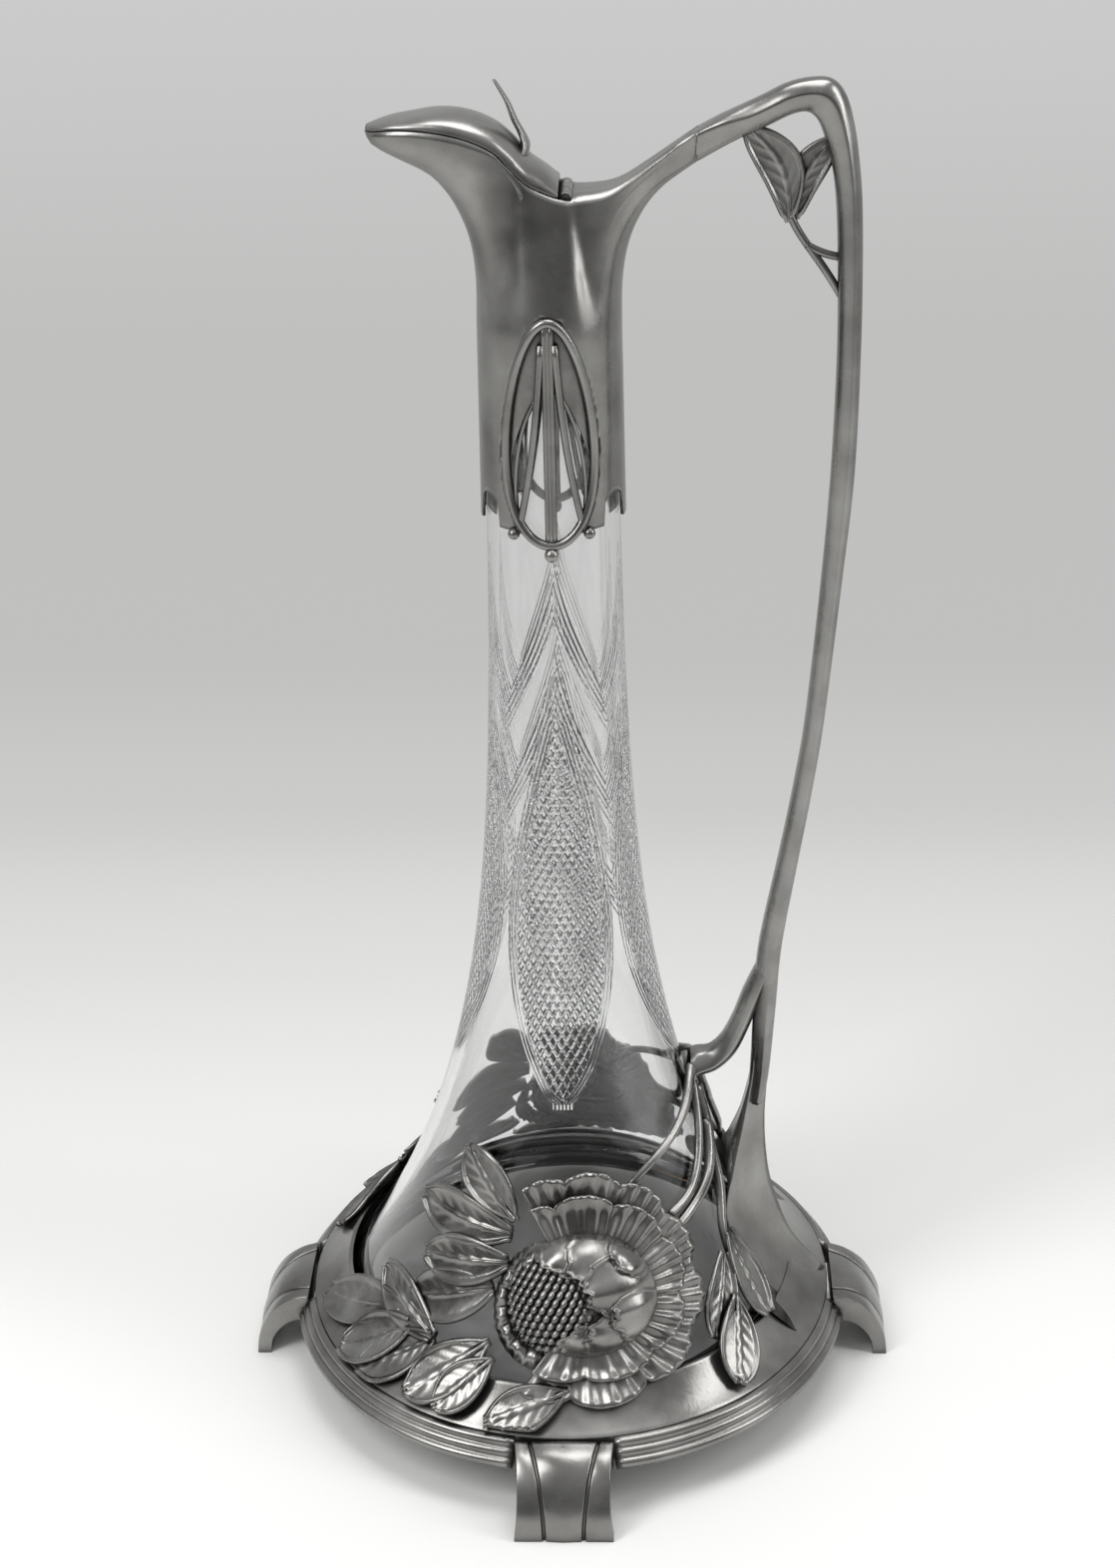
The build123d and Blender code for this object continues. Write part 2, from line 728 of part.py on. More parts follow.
left_leaves = (
    # base, tip, half width
    ((-109, 76), (-133, 92), 4.6),
    ((-110, 72), (-149, 69.5), 4.8),
    ((-110, 64), (-134, 61), 4.2),
    ((-112, 56), (-136, 45), 6.5),
)
low_leaves = (
    ((-140, 41), (-167, 26), 6.0),
    ((-126, 38), (-152, 46.5), 5.0),
    ((-134, 38), (-149, 22), 5.5),
    ((-126, 38), (-141, 19.5), 5.5),
    ((-110, 42), (-126, 23), 6.0),
    ((-108, 38), (-120, 20.5), 5.0),
    ((-89, 32), (-107, 22.4), 5.0),
)
right_leaves = (
    ((-34, 54), (-49, 36), 5.0),
    ((-28.5, 53), (-30.5, 33), 5.5),
    ((-38, 43), (-50, 21.5), 6.0),
)
ornament = [("flower_head", head), ("ruff", ruff)]
taken = both_sails + [head_shells[0], ruff]
for name, leaves in (("leaves_left", left_leaves), ("leaves_low", low_leaves), ("leaves_right", right_leaves)):
    group = relief([blade(*leaf) for leaf in leaves], leaf_thickness, taken)
    taken.append(group)
    ornament.append((name, group))

stalk_lines = (
    ((-6, 104), (-14, 102), (-30, 96), (-59, 86.7), (-70, 80)),
    ((-7, 98), (-10, 88), (-20, 78), (-42, 70), (-58, 66)),
    ((-14, 82), (-20, 71), (-29, 58), (-32, 50)),
)
stalks = []
for line in stalk_lines:
    centres = [on_skirt(angle, height, 0.6 * stalk_radius) for angle, height in line]
    rings = []
    for i, (angle, height) in enumerate(line):
        ahead = centres[min(i + 1, len(line) - 1)] - centres[max(i - 1, 0)]
        across = Plane(origin=centres[i], x_dir=skirt_normal(angle, height), z_dir=ahead)
        corners = [(stalk_radius * cos(pi * k / 3), stalk_radius * sin(pi * k / 3)) for k in range(6)]
        rings.append([across.from_local_coords(Vector(u, v, 0)) for u, v in corners])
    stalks.append(skin(rings))
stalk_set = whole((stalks[0] + stalks[1:]) - [inner_room, handle, mirror(handle, about=Plane.XZ)] - taken)
ornament.append(("stalks", stalk_set))
for name, shape in ornament:
    save(name + "_front", shape)
    save(name + "_back", mirror(shape, about=Plane.XZ))
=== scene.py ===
from math import atan2, cos, degrees, exp, pi, radians, sin, sqrt

import bmesh
import bpy
from mathutils import Matrix, Vector


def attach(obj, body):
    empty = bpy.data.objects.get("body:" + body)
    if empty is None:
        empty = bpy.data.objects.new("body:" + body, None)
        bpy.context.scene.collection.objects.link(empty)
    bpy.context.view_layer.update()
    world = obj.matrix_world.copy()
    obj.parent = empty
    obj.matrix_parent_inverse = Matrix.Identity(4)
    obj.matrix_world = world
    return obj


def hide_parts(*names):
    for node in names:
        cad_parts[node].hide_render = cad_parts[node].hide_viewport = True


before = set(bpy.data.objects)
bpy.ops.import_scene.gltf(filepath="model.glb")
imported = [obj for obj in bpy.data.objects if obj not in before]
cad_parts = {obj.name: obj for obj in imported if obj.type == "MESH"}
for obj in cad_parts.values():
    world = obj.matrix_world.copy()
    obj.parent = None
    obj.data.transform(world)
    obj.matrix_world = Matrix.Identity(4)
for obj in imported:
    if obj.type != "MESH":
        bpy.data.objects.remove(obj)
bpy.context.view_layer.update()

mm = 0.001
print("frame loaded")

# The jug's main curve, in millimetres as on the drawing. Pieces are made in metres.
jugForm = {
    "neckRadius": 18.6, "flare": 76.0, "flareLength": 84.7, "bellLength": 242.5,
    "fitGap": 0.3, "skirtWall": 1.2, "rimFlare": 7.1, "rimFade": 8.0,
    "rimTop": 23.0, "rimBottom": 14.0, "skirtCrest": 33.0,
    "glassBottom": 16.8, "glassTop": 345.0, "floorThickness": 9.0,
}


def glassRadius(z):
    j = jugForm
    return j["neckRadius"] + j["flare"] * exp(-z / j["flareLength"] - (z / j["bellLength"]) ** 2)


def skirtRadius(z):
    j = jugForm
    return glassRadius(z) + j["fitGap"] + j["skirtWall"] + j["rimFlare"] * exp((j["rimTop"] - z) / j["rimFade"])


def onSkirt(angle, z, out=0.0):
    # a point in the skirt's surface, or standing off it
    slope = (skirtRadius(z + 1) - skirtRadius(z - 1)) / 2
    normal = Vector((cos(radians(angle)), sin(radians(angle)), -slope)).normalized()
    r = skirtRadius(z)
    return (Vector((r * cos(radians(angle)), r * sin(radians(angle)), z)) + normal * out) * mm


def smoothTable(table, value, column=1):
    # reads a table along a smooth curve through its rows
    rows = sorted(table)
    value = max(rows[0][0], min(rows[-1][0], value))
    k = 0
    while k < len(rows) - 2 and value > rows[k + 1][0]:
        k += 1
    a, b = rows[k], rows[k + 1]
    before, after = rows[max(k - 1, 0)], rows[min(k + 2, len(rows) - 1)]
    span = b[0] - a[0]
    t = (value - a[0]) / span
    slopeA = (b[column] - before[column]) / (b[0] - before[0]) * span
    slopeB = (after[column] - a[column]) / (after[0] - a[0]) * span
    return (
        (2 * t**3 - 3 * t**2 + 1) * a[column] + (t**3 - 2 * t**2 + t) * slopeA
        + (3 * t**2 - 2 * t**3) * b[column] + (t**3 - t**2) * slopeB
    )


def resample(rows, count):
    # the same stations, read more finely along a smooth curve
    table = [[i] + list(row) for i, row in enumerate(rows)]
    width = len(rows[0])
    last = len(rows) - 1
    return [[smoothTable(table, last * k / (count - 1), c + 1) for c in range(width)] for k in range(count)]


# Mesh helpers
def growRings(bm, rings, capped=True):
    start = bmesh.ops.create_circle(bm, cap_ends=capped, segments=len(rings[0]), radius=1)["verts"]
    for vert, point in zip(start, rings[0]):
        vert.co = point
    ring = list(start)
    for points in rings[1:]:
        index = {vert: i for i, vert in enumerate(ring)}
        edges = [e for e in bm.edges if e.verts[0] in index and e.verts[1] in index]
        grown = bmesh.ops.extrude_edge_only(bm, edges=edges)["geom"]
        following = [None] * len(ring)
        for vert in [g for g in grown if isinstance(g, bmesh.types.BMVert)]:
            for edge in vert.link_edges:
                other = edge.other_vert(vert)
                if other in index:
                    following[index[other]] = vert
        for vert, point in zip(following, points):
            vert.co = point
        ring = following
    if capped:
        ends = set(ring)
        bmesh.ops.contextual_create(bm, geom=[e for e in bm.edges if e.verts[0] in ends and e.verts[1] in ends])
    return ring


def addGrid(bm, across, along, place):
    # a sheet whose points are placed by u, 0 to 1 along it, and v, -1 to 1 across it
    for vert in bmesh.ops.create_grid(bm, x_segments=across, y_segments=along, size=1)["verts"]:
        u, v = (vert.co.y + 1) / 2, vert.co.x
        vert.co = place(min(1, max(0, u)), min(1, max(-1, v)))


def spinProfile(bm, profile, steps, angle=2 * pi, start=0.0):
    verts = [bm.verts.new((r * mm * cos(start), r * mm * sin(start), z * mm)) for r, z in profile]
    edges = [bm.edges.new((verts[i], verts[(i + 1) % len(verts)])) for i in range(len(verts))]
    bmesh.ops.spin(bm, geom=verts + edges, cent=(0, 0, 0), axis=(0, 0, 1), angle=angle, steps=steps,
                   use_merge=angle == 2 * pi)


def addModifiers(piece, wall=None, wallOffset=-1.0, rounding=None, smooth=0):
    if wall:
        solid = piece.modifiers.new("wall", "SOLIDIFY")
        solid.thickness = wall * mm
        solid.offset = wallOffset
    if rounding:
        bevel = piece.modifiers.new("rounding", "BEVEL")
        bevel.width = rounding * mm
        bevel.segments = 2
        bevel.limit_method = "ANGLE"
    if smooth:
        subdivide = piece.modifiers.new("smooth", "SUBSURF")
        subdivide.levels = smooth
        subdivide.render_levels = smooth


def finishPiece(name, bm, material, body="jug", nodes=(), slot="silver", **modifiers):
    bmesh.ops.remove_doubles(bm, verts=bm.verts, dist=0.002 * mm)
    bmesh.ops.recalc_face_normals(bm, faces=bm.faces)
    mesh = bpy.data.meshes.new(name)
    bm.to_mesh(mesh)
    bm.free()
    for face in mesh.polygons:
        face.use_smooth = True
    mesh.materials.append(material)
    piece = bpy.data.objects.new(name, mesh)
    bpy.context.scene.collection.objects.link(piece)
    addModifiers(piece, **modifiers)
    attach(piece, body)
    if nodes:
        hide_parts(*nodes)


def mirrored(bm):
    # the back of the jug repeats the front
    bmesh.ops.scale(bm, vec=(1, -1, 1), verts=bm.verts)
    bmesh.ops.reverse_faces(bm, faces=bm.faces)


# Materials
def newMaterial(name):
    material = bpy.data.materials.new(name)
    material.use_nodes = True
    nodes = material.node_tree.nodes
    return material, nodes, material.node_tree.links, nodes["Principled BSDF"]


def placeParts(nodes, links, kind="Object"):
    # the X, Y and Z of a texture place
    split = nodes.new("ShaderNodeSeparateXYZ")
    links.new(nodes.new("ShaderNodeTexCoord").outputs[kind], split.inputs["Vector"])
    return split.outputs


def addNoise(nodes, links, detail, vector=None):
    noise = nodes.new("ShaderNodeTexNoise")
    noise.inputs["Detail"].default_value = detail
    if vector is None:
        vector = nodes.new("ShaderNodeTexCoord").outputs["Object"]
    links.new(vector, noise.inputs["Vector"])
    return noise


def addRange(nodes, links, value, fromRange, toRange=(0, 1)):
    share = nodes.new("ShaderNodeMapRange")
    for name, number in zip(("From Min", "From Max", "To Min", "To Max"), (*fromRange, *toRange)):
        share.inputs[name].default_value = number
    links.new(value, share.inputs["Value"])
    return share.outputs["Result"]


def addRamp(nodes, links, value, stops, interpolation="LINEAR"):
    # a colour ramp from its stops of position and colour
    ramp = nodes.new("ShaderNodeValToRGB")
    ramp.color_ramp.interpolation = interpolation
    elements = ramp.color_ramp.elements
    elements[0].position, elements[0].color = stops[0]
    elements[1].position, elements[1].color = stops[-1]
    for position, color in stops[1:-1]:
        elements.new(position).color = color
    links.new(value, ramp.inputs["Fac"])
    return ramp.outputs["Color"]


def addMath(nodes, links, operation, *values):
    # each value is a number or a socket
    node = nodes.new("ShaderNodeMath")
    node.operation = operation
    for socket, value in zip(node.inputs, values):
        if isinstance(value, (int, float)):
            socket.default_value = value
        else:
            links.new(value, socket)
    return node.outputs[0]


def addBump(nodes, links, shader, height, strength, distance):
    relief = nodes.new("ShaderNodeBump")
    relief.inputs["Strength"].default_value = strength
    relief.inputs["Distance"].default_value = distance
    links.new(height, relief.inputs["Height"])
    links.new(relief.outputs["Normal"], shader.inputs["Normal"])


def buildPatina():
    # dark tarnish in the recesses, cloudy wear and fine scratches on the open faces
    group = bpy.data.node_groups.new("silverPatina", "ShaderNodeTree")
    for name, way, kind in (("Scale", "INPUT", "Float"), ("Tarnish", "INPUT", "Float"), ("Color", "OUTPUT", "Color"),
                            ("Roughness", "OUTPUT", "Float"), ("Height", "OUTPUT", "Float")):
        group.interface.new_socket(name=name, in_out=way, socket_type="NodeSocket" + kind)
    nodes, links = group.nodes, group.links
    given, results = nodes.new("NodeGroupInput").outputs, nodes.new("NodeGroupOutput").inputs
    cloud = addNoise(nodes, links, 6)
    links.new(given["Scale"], cloud.inputs["Scale"])
    scratchPlace = nodes.new("ShaderNodeMapping")
    scratchPlace.inputs["Scale"].default_value = (900, 900, 60)
    scratchPlace.inputs["Rotation"].default_value = (0.4, 0.7, 0.2)
    links.new(nodes.new("ShaderNodeTexCoord").outputs["Object"], scratchPlace.inputs["Vector"])
    scratch = addNoise(nodes, links, 3, scratchPlace.outputs["Vector"])
    scratch.inputs["Scale"].default_value = 1
    recess = nodes.new("ShaderNodeAmbientOcclusion")
    recess.inputs["Distance"].default_value = 0.0045
    recess.samples = 8
    openness = addRange(nodes, links, recess.outputs["AO"], (0.35, 0.9))
    dirt = addMath(nodes, links, "MULTIPLY", addMath(nodes, links, "SUBTRACT", 1, openness), given["Tarnish"])
    tones = ((0.3, (0.17, 0.167, 0.16, 1)), (0.72, (0.35, 0.346, 0.334, 1)))
    mix = nodes.new("ShaderNodeMix")
    mix.data_type = "RGBA"
    mix.inputs["B"].default_value = (0.03, 0.028, 0.025, 1)
    links.new(dirt, mix.inputs["Factor"])
    links.new(addRamp(nodes, links, cloud.outputs["Fac"], tones), mix.inputs["A"])
    links.new(mix.outputs["Result"], results["Color"])
    wear = addRange(nodes, links, cloud.outputs["Fac"], (0.3, 0.75), (0.2, 0.36))
    links.new(addMath(nodes, links, "MULTIPLY_ADD", dirt, 0.3, wear), results["Roughness"])
    links.new(scratch.outputs["Fac"], results["Height"])
    return group


patina = buildPatina()


def silverMaterial(name, scale, tarnish, bump):
    material, nodes, links, shader = newMaterial(name)
    shader.inputs["Metallic"].default_value = 1
    group = nodes.new("ShaderNodeGroup")
    group.node_tree = patina
    group.inputs["Scale"].default_value = scale
    group.inputs["Tarnish"].default_value = tarnish
    links.new(group.outputs["Color"], shader.inputs["Base Color"])
    links.new(group.outputs["Roughness"], shader.inputs["Roughness"])
    addBump(nodes, links, shader, group.outputs["Height"], bump, 0.0002)
    return material


smoothSilver = silverMaterial("smoothSilver", 45, 0.8, 0.12)
chasedSilver = silverMaterial("chasedSilver", 90, 1.0, 0.2)
handleSilver = silverMaterial("handleSilver", 60, 0.95, 0.08)

# Cut pattern of the glass: pointed panels of fine diamonds under fans of long cuts
cutGlass = {
    "repeats": 4, "panelLow": 0.111, "panelHigh": 0.231, "panelHalf": 0.0134, "panelSkew": 0.736,
    "diamondWidth": 0.0027, "diamondHeight": 0.0050, "cutWidth": 0.13, "borderPitch": 0.0011,
    "fanStarts": (0.2885, 0.260, 0.234), "fanLength": 0.062, "fanReach": 0.021, "fanBend": 1.7,
    "fanPitch": 0.0013, "fanLines": 4, "fanWidth": 0.2, "borderLines": 3, "borderWidth": 0.24,
    "cutBand": (0.1, 0.2885), "depth": 0.00032, "frost": 0.1,
}


def cutGlassMaterial():
    g = cutGlass
    material, nodes, links, shader = newMaterial("cutGlass")
    shader.inputs["Base Color"].default_value = (0.985, 0.99, 0.988, 1)
    shader.inputs["IOR"].default_value = 1.5
    shader.inputs["Transmission Weight"].default_value = 1
    x, y, z = placeParts(nodes, links)

    def math(operation, *values):
        return addMath(nodes, links, operation, *values)

    turn = math("ARCTAN2", x, math("MULTIPLY", y, -1))
    step = 2 * pi / g["repeats"]
    folded = math("SUBTRACT", math("WRAP", math("ADD", turn, step / 2), step, 0.0), step / 2)
    radius = math("SQRT", math("ADD", math("MULTIPLY", x, x), math("MULTIPLY", y, y)))
    arc = math("MULTIPLY", folded, radius)
    side = math("ABSOLUTE", arc)

    def between(value, low, high):
        return math("MULTIPLY", math("GREATER_THAN", value, low), math("LESS_THAN", value, high))

    def grooves(value, pitch, width=g["cutWidth"]):
        # V-shaped cuts, one to each pitch
        share = math("WRAP", math("DIVIDE", value, pitch), 1.0, 0.0)
        off = math("ABSOLUTE", math("SUBTRACT", share, 0.5))
        return math("MAXIMUM", math("SUBTRACT", 1.0, math("DIVIDE", off, width)), 0.0)

    rise = math("DIVIDE", math("SUBTRACT", z, g["panelLow"]), g["panelHigh"] - g["panelLow"])
    rise = math("MINIMUM", math("MAXIMUM", rise, 0.0), 1.0)
    swell = math("SINE", math("MULTIPLY", math("POWER", rise, g["panelSkew"]), pi))
    edge = math("MULTIPLY", swell, g["panelHalf"])
    inPanel = math("MULTIPLY", between(z, g["panelLow"], g["panelHigh"]), math("LESS_THAN", side, edge))
    across, up = math("DIVIDE", arc, g["diamondWidth"]), math("DIVIDE", z, g["diamondHeight"])
    lattice = math("MAXIMUM", grooves(math("ADD", across, up), 1.0), grooves(math("SUBTRACT", across, up), 1.0))
    cuts = math("MULTIPLY", lattice, inPanel)
    offEdge = math("SUBTRACT", side, edge)
    borderWide = g["borderLines"] * g["borderPitch"]
    border = math("MULTIPLY", between(offEdge, 0.0, borderWide), between(z, g["panelLow"] - 0.002, g["panelHigh"]))
    border = math("MULTIPLY", border, grooves(offEdge, g["borderPitch"], g["borderWidth"]))
    cuts = math("MAXIMUM", cuts, border)
    within = math("MULTIPLY", math("LESS_THAN", offEdge, borderWide), math("LESS_THAN", z, g["panelHigh"]))
    outside = math("SUBTRACT", 1.0, within)
    for start in g["fanStarts"]:
        fall = math("MAXIMUM", math("DIVIDE", math("SUBTRACT", start, z), g["fanLength"]), 0.0)
        reach = math("MULTIPLY", math("POWER", fall, g["fanBend"]), g["fanReach"])
        off = math("SUBTRACT", reach, side)
        fan = math("MULTIPLY", between(off, 0.0, g["fanLines"] * g["fanPitch"]), math("LESS_THAN", z, start))
        fan = math("MULTIPLY", math("MULTIPLY", fan, outside), grooves(off, g["fanPitch"], g["fanWidth"]))
        cuts = math("MAXIMUM", cuts, fan)
    cuts = math("MULTIPLY", cuts, between(z, *g["cutBand"]))
    addBump(nodes, links, shader, math("MULTIPLY", cuts, -1.0), 1, g["depth"])
    links.new(math("MULTIPLY", cuts, g["frost"]), shader.inputs["Roughness"])
    return material


def plainMaterial(name, dark, light, scale, roughness):
    material, nodes, links, shader = newMaterial(name)
    grain = addNoise(nodes, links, 6)
    grain.inputs["Scale"].default_value = scale
    tone = addRamp(nodes, links, grain.outputs["Fac"], ((0, dark), (1, light)))
    links.new(tone, shader.inputs["Base Color"])
    shader.inputs["Roughness"].default_value = roughness
    addBump(nodes, links, shader, grain.outputs["Fac"], 0.4, 0.0003)
    return material


glassMaterial = cutGlassMaterial()
corkMaterial = plainMaterial("cork", (0.3, 0.17, 0.08, 1), (0.55, 0.36, 0.2, 1), 400, 0.85)
plasterMaterial = plainMaterial("plaster", (0.6, 0.57, 0.5, 1), (0.78, 0.75, 0.68, 1), 300, 0.9)
for node, material in (("seat_pads", corkMaterial), ("neck_plaster", plasterMaterial), ("hinge_pin", smoothSilver)):
    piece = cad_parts[node]
    piece.data.materials.clear()
    piece.data.materials.append(material)
print("materials made")

# Glass
glassForm = {"edge": 22.0, "foot": 2.5, "bodyWall": 3.6, "neckWall": 3.0, "rows": 60}


def makeGlass():
    g, top = glassForm, jugForm["glassTop"]
    bottom, floor = jugForm["glassBottom"], jugForm["glassBottom"] + jugForm["floorThickness"]
    heights = [g["edge"] + (top - g["edge"]) * i / g["rows"] for i in range(g["rows"] + 1)]
    outer = [(glassRadius(z), z) for z in heights]
    inner = []
    for i in range(g["rows"] + 1):
        t = 1 - i / g["rows"]
        z = floor + 4 + (top - floor - 4) * t
        inner.append((glassRadius(z) - g["bodyWall"] + (g["bodyWall"] - g["neckWall"]) * t, z))
    edge = glassRadius(g["edge"])
    base = [(0.001, bottom), (edge - g["foot"], bottom), (edge - 0.8, bottom + 1.5)]
    hollow = [(inner[-1][0] - 1.2, floor + 1.4), (inner[-1][0] - 4, floor), (0.001, floor)]
    bm = bmesh.new()
    spinProfile(bm, base + outer + inner + hollow, steps=128)
    finishPiece("glassBody", bm, glassMaterial, nodes=["glass_body"], slot="cut_glass")


makeGlass()

# Skirt, rim and feet
skirtForm = {"hem": 1.2, "ledge": 9.0, "ledgeThickness": 1.6, "rows": 14}
rimForm = {"reach": 5.8, "reeds": 3, "bulge": 0.95, "footHalf": 15.3}
footForm = {
    "reach": 104.0, "half": 15.0, "waist": 1.0, "grooveDepth": 0.9, "crown": 0.35, "stations": 26,
    "crest": ((85.8, 23.0), (91.5, 21.4), (97.0, 17.6), (100.8, 12.0), (103.2, 6.0), (103.9, 0.0)),
    "under": ((85.8, 13.4), (88.5, 13.2), (93.0, 11.6), (96.4, 8.6), (98.8, 4.6), (99.4, 0.0)),
    "groove": (9.8, 8.4, 7.0, 6.1, 5.5, 5.3),
}


def makeSkirt():
    j, s = jugForm, skirtForm
    hem = skirtRadius(j["rimTop"])
    rows = [j["rimTop"] + (j["skirtCrest"] - j["rimTop"]) * i / s["rows"] for i in range(s["rows"] + 1)]
    outer = [(skirtRadius(z), z) for z in rows]
    inner = [(r - s["hem"], z) for r, z in outer[::-1]]
    ledge = glassRadius(glassForm["edge"]) - s["ledge"]
    low, seat = j["rimBottom"], j["rimBottom"] + s["ledgeThickness"]
    profile = [(ledge, low), (hem, low)] + outer + inner + [(hem - s["hem"], seat), (ledge, seat)]
    bm = bmesh.new()
    spinProfile(bm, profile, steps=180)
    finishPiece("skirtMetal", bm, smoothSilver, nodes=["skirt"], rounding=0.3)


def makeRim():
    j, r = jugForm, rimForm
    hem = skirtRadius(j["rimTop"])
    low, high = (hem + r["reach"], j["rimBottom"] + 1.4), (hem + 0.5, j["rimTop"] - 0.2)
    length = sqrt((high[0] - low[0]) ** 2 + (high[1] - low[1]) ** 2)
    push = ((high[1] - low[1]) / length, (low[0] - high[0]) / length)
    profile = [(hem, j["rimBottom"]), (low[0] - 1.2, j["rimBottom"])]
    for reed in range(r["reeds"]):
        for k in range(6):
            share = (reed + k / 6) / r["reeds"]
            out = r["bulge"] * sin(pi * k / 6) ** 0.7
            profile.append((low[0] + (high[0] - low[0]) * share + out * push[0],
                            low[1] + (high[1] - low[1]) * share + out * push[1]))
    profile += [high, (hem, j["rimTop"])]
    bm = bmesh.new()
    gap = atan2(r["footHalf"], hem)
    for quarter in range(4):
        spinProfile(bm, profile, steps=44, angle=pi / 2 - 2 * gap, start=quarter * pi / 2 + gap)
    bmesh.ops.holes_fill(bm, edges=bm.edges)
    finishPiece("rimReeds", bm, smoothSilver, nodes=["rim_band"])


def makeFeet():
    f = footForm
    rows = [(*c, *u, g) for c, u, g in zip(f["crest"], f["under"], f["groove"])]
    rows = resample(rows, f["stations"])
    for name, turn in (("footRight", 0), ("footBack", 90), ("footLeft", 180), ("footFront", 270)):
        around = Matrix.Rotation(radians(turn), 3, "Z")
        bm = bmesh.new()
        rings = []
        for k, (cx, cz, ux, uz, groove) in enumerate(rows):
            half = f["half"] - f["waist"] * sin(pi * k / (len(rows) - 1))
            slope = Vector((cx - ux, 0, cz - uz)).normalized() * f["grooveDepth"]
            ring = []
            for y, share, sunk in (
                (-half, 1, 0), (-half, 0.5, 0), (-half, 0, 0), (-groove - 1.3, 0, 0), (-groove - 0.9, 0, 1),
                (-groove - 0.3, 0, 1), (-groove, 0, 0), (0, 0, -f["crown"]), (groove, 0, 0), (groove + 0.3, 0, 1),
                (groove + 0.9, 0, 1), (groove + 1.3, 0, 0), (half, 0, 0), (half, 0.5, 0), (half, 1, 0), (0, 1, 0),
            ):
                x, z = cx + (ux - cx) * share, cz + (uz - cz) * share
                point = Vector((min(x, f["reach"]), y, max(z, 0))) - slope * sunk
                point.z = max(point.z, 0)
                ring.append(around @ point * mm)
            rings.append(ring)
        growRings(bm, rings)
        finishPiece(name, bm, smoothSilver, nodes=[name.replace("foot", "foot_").lower()], rounding=0.35)


makeSkirt()
makeRim()
makeFeet()
print("skirt, rim and feet made")

# Sail
sailForm = {
    "rows": ((24, 84.0, 74.0, 36.0), (39, 72.6, 60.0, 35.0), (57, 66.2, 50.6, 24.0),
             (70, 64.0, 52.5, 13.5), (84, 63.3, 56.0, 7.0), (99, 64.0, 58.7, 4.3), (106, 64.2, 59.4, 3.6)),
    "stations": 44, "sidePoints": 10, "hollow": 0.1, "back": 3.0, "backFade": (24.0, 99.0), "sink": 1.0,
}


def makeSail():
    s = sailForm
    rings = []
    for height, keel, front, half in resample(s["rows"], s["stations"]):
        ring = []
        for sign in (-1, 1):
            points = []
            for k in range(s["sidePoints"] + 1):
                t = k / s["sidePoints"]
                sag = s["hollow"] * half * sin(pi * t) ** 1.2
                x = front + (keel - front) * t - 0.8 * sag
                points.append(Vector((x, sign * (half * (1 - t) - 0.25 * sag), height)))
            ring += points[:-1] if sign < 0 else points[::-1]
        low, high = s["backFade"]
        back = front - s["back"] * max(0.0, 1 - (height - low) / (high - low))
        reach = skirtRadius(max(height, low)) - s["sink"]
        kept = []
        for point in ring + [Vector((back, 0, height))]:
            flat = Vector((point.x, point.y, 0))
            if flat.length < reach:
                flat = flat.normalized() * reach
            kept.append(Vector((flat.x, flat.y, height)) * mm)
        rings.append(kept)
    bm = bmesh.new()
    growRings(bm, rings)
    finishPiece("sailKeel", bm, smoothSilver, nodes=["sail"])


makeSail()
print("sail made")

# Neck mount
mountForm = {
    "collarRadius": 20.8, "collarTaper": 0.6, "bottom": 290.0, "collarTop": 345.0, "wall": 0.9,
    "sections": ((358, -20.0, 20.6, 18.9, 0.05), (368, -21.2, 22.6, 17.4, 0.15), (376, -24.0, 26.4, 16.6, 0.3),
                 (382, -27.6, 31.5, 16.2, 0.45), (387, -32.6, 38.5, 16.2, 0.58), (391.5, -41.6, 45.5, 16.4, 0.68),
                 (395, -47.3, 51.5, 16.6, 0.7), (403, -49.5, 64.0, 17.2, 0.72)),
    "mouth": ((-52, 397.6), (-47.5, 398.2), (-40, 399.4), (-30.5, 399.2), (-21, 397.2), (-13.5, 393.6),
              (-9, 388.9), (-4.9, 385.2), (0, 382.8), (3.4, 381.6), (7.2, 380.8), (15.2, 381.4),
              (20.8, 383.4), (28.2, 388.4), (41.0, 397.2), (60, 408.0)),
    "seam": 41.0, "columns": 192, "rowCount": 64, "archRadius": 6.0, "arches": (30, 150, 210, 330),
    "fluteDepth": 1.5, "fluteAngle": 40, "fluteWidth": 13,
    "hinge": (5.3, 380.8), "knuckle": 1.9, "knuckleLength": 4.4, "knuckleOffset": 6.8,
}
panelForm = {
    "half": 14.2, "top": 352.0, "bottom": 285.0, "ring": 1.35, "barRadius": 0.75, "windowTop": 331.0,
    "windowHalf": 10.2, "bead": 1.8, "beads": ((-10.8, 289.4), (0, 283.9), (10.8, 289.4)),
}


def pearHalf(z, inset=0.0):
    p = panelForm
    low, high = p["bottom"] + inset, p["top"] - 1.8 * inset
    rise = (z - low) / (high - low)
    if rise <= 0 or rise >= 1:
        return 0.0
    return 1.19 * (p["half"] - inset) * 2 * sqrt(rise * (1 - rise)) * (1 - 0.35 * rise)


def collarOutside(z):
    m = mountForm
    return m["collarRadius"] - m["collarTaper"] * (z - m["bottom"]) / (m["collarTop"] - m["bottom"])


def mountTable():
    m = mountForm
    rows = []
    for z in (285, 300, 315, 330, m["collarTop"]):
        rows.append((z, -collarOutside(z), collarOutside(z), collarOutside(z), 0.0))
    return rows + list(m["sections"])


mountRows = mountTable()


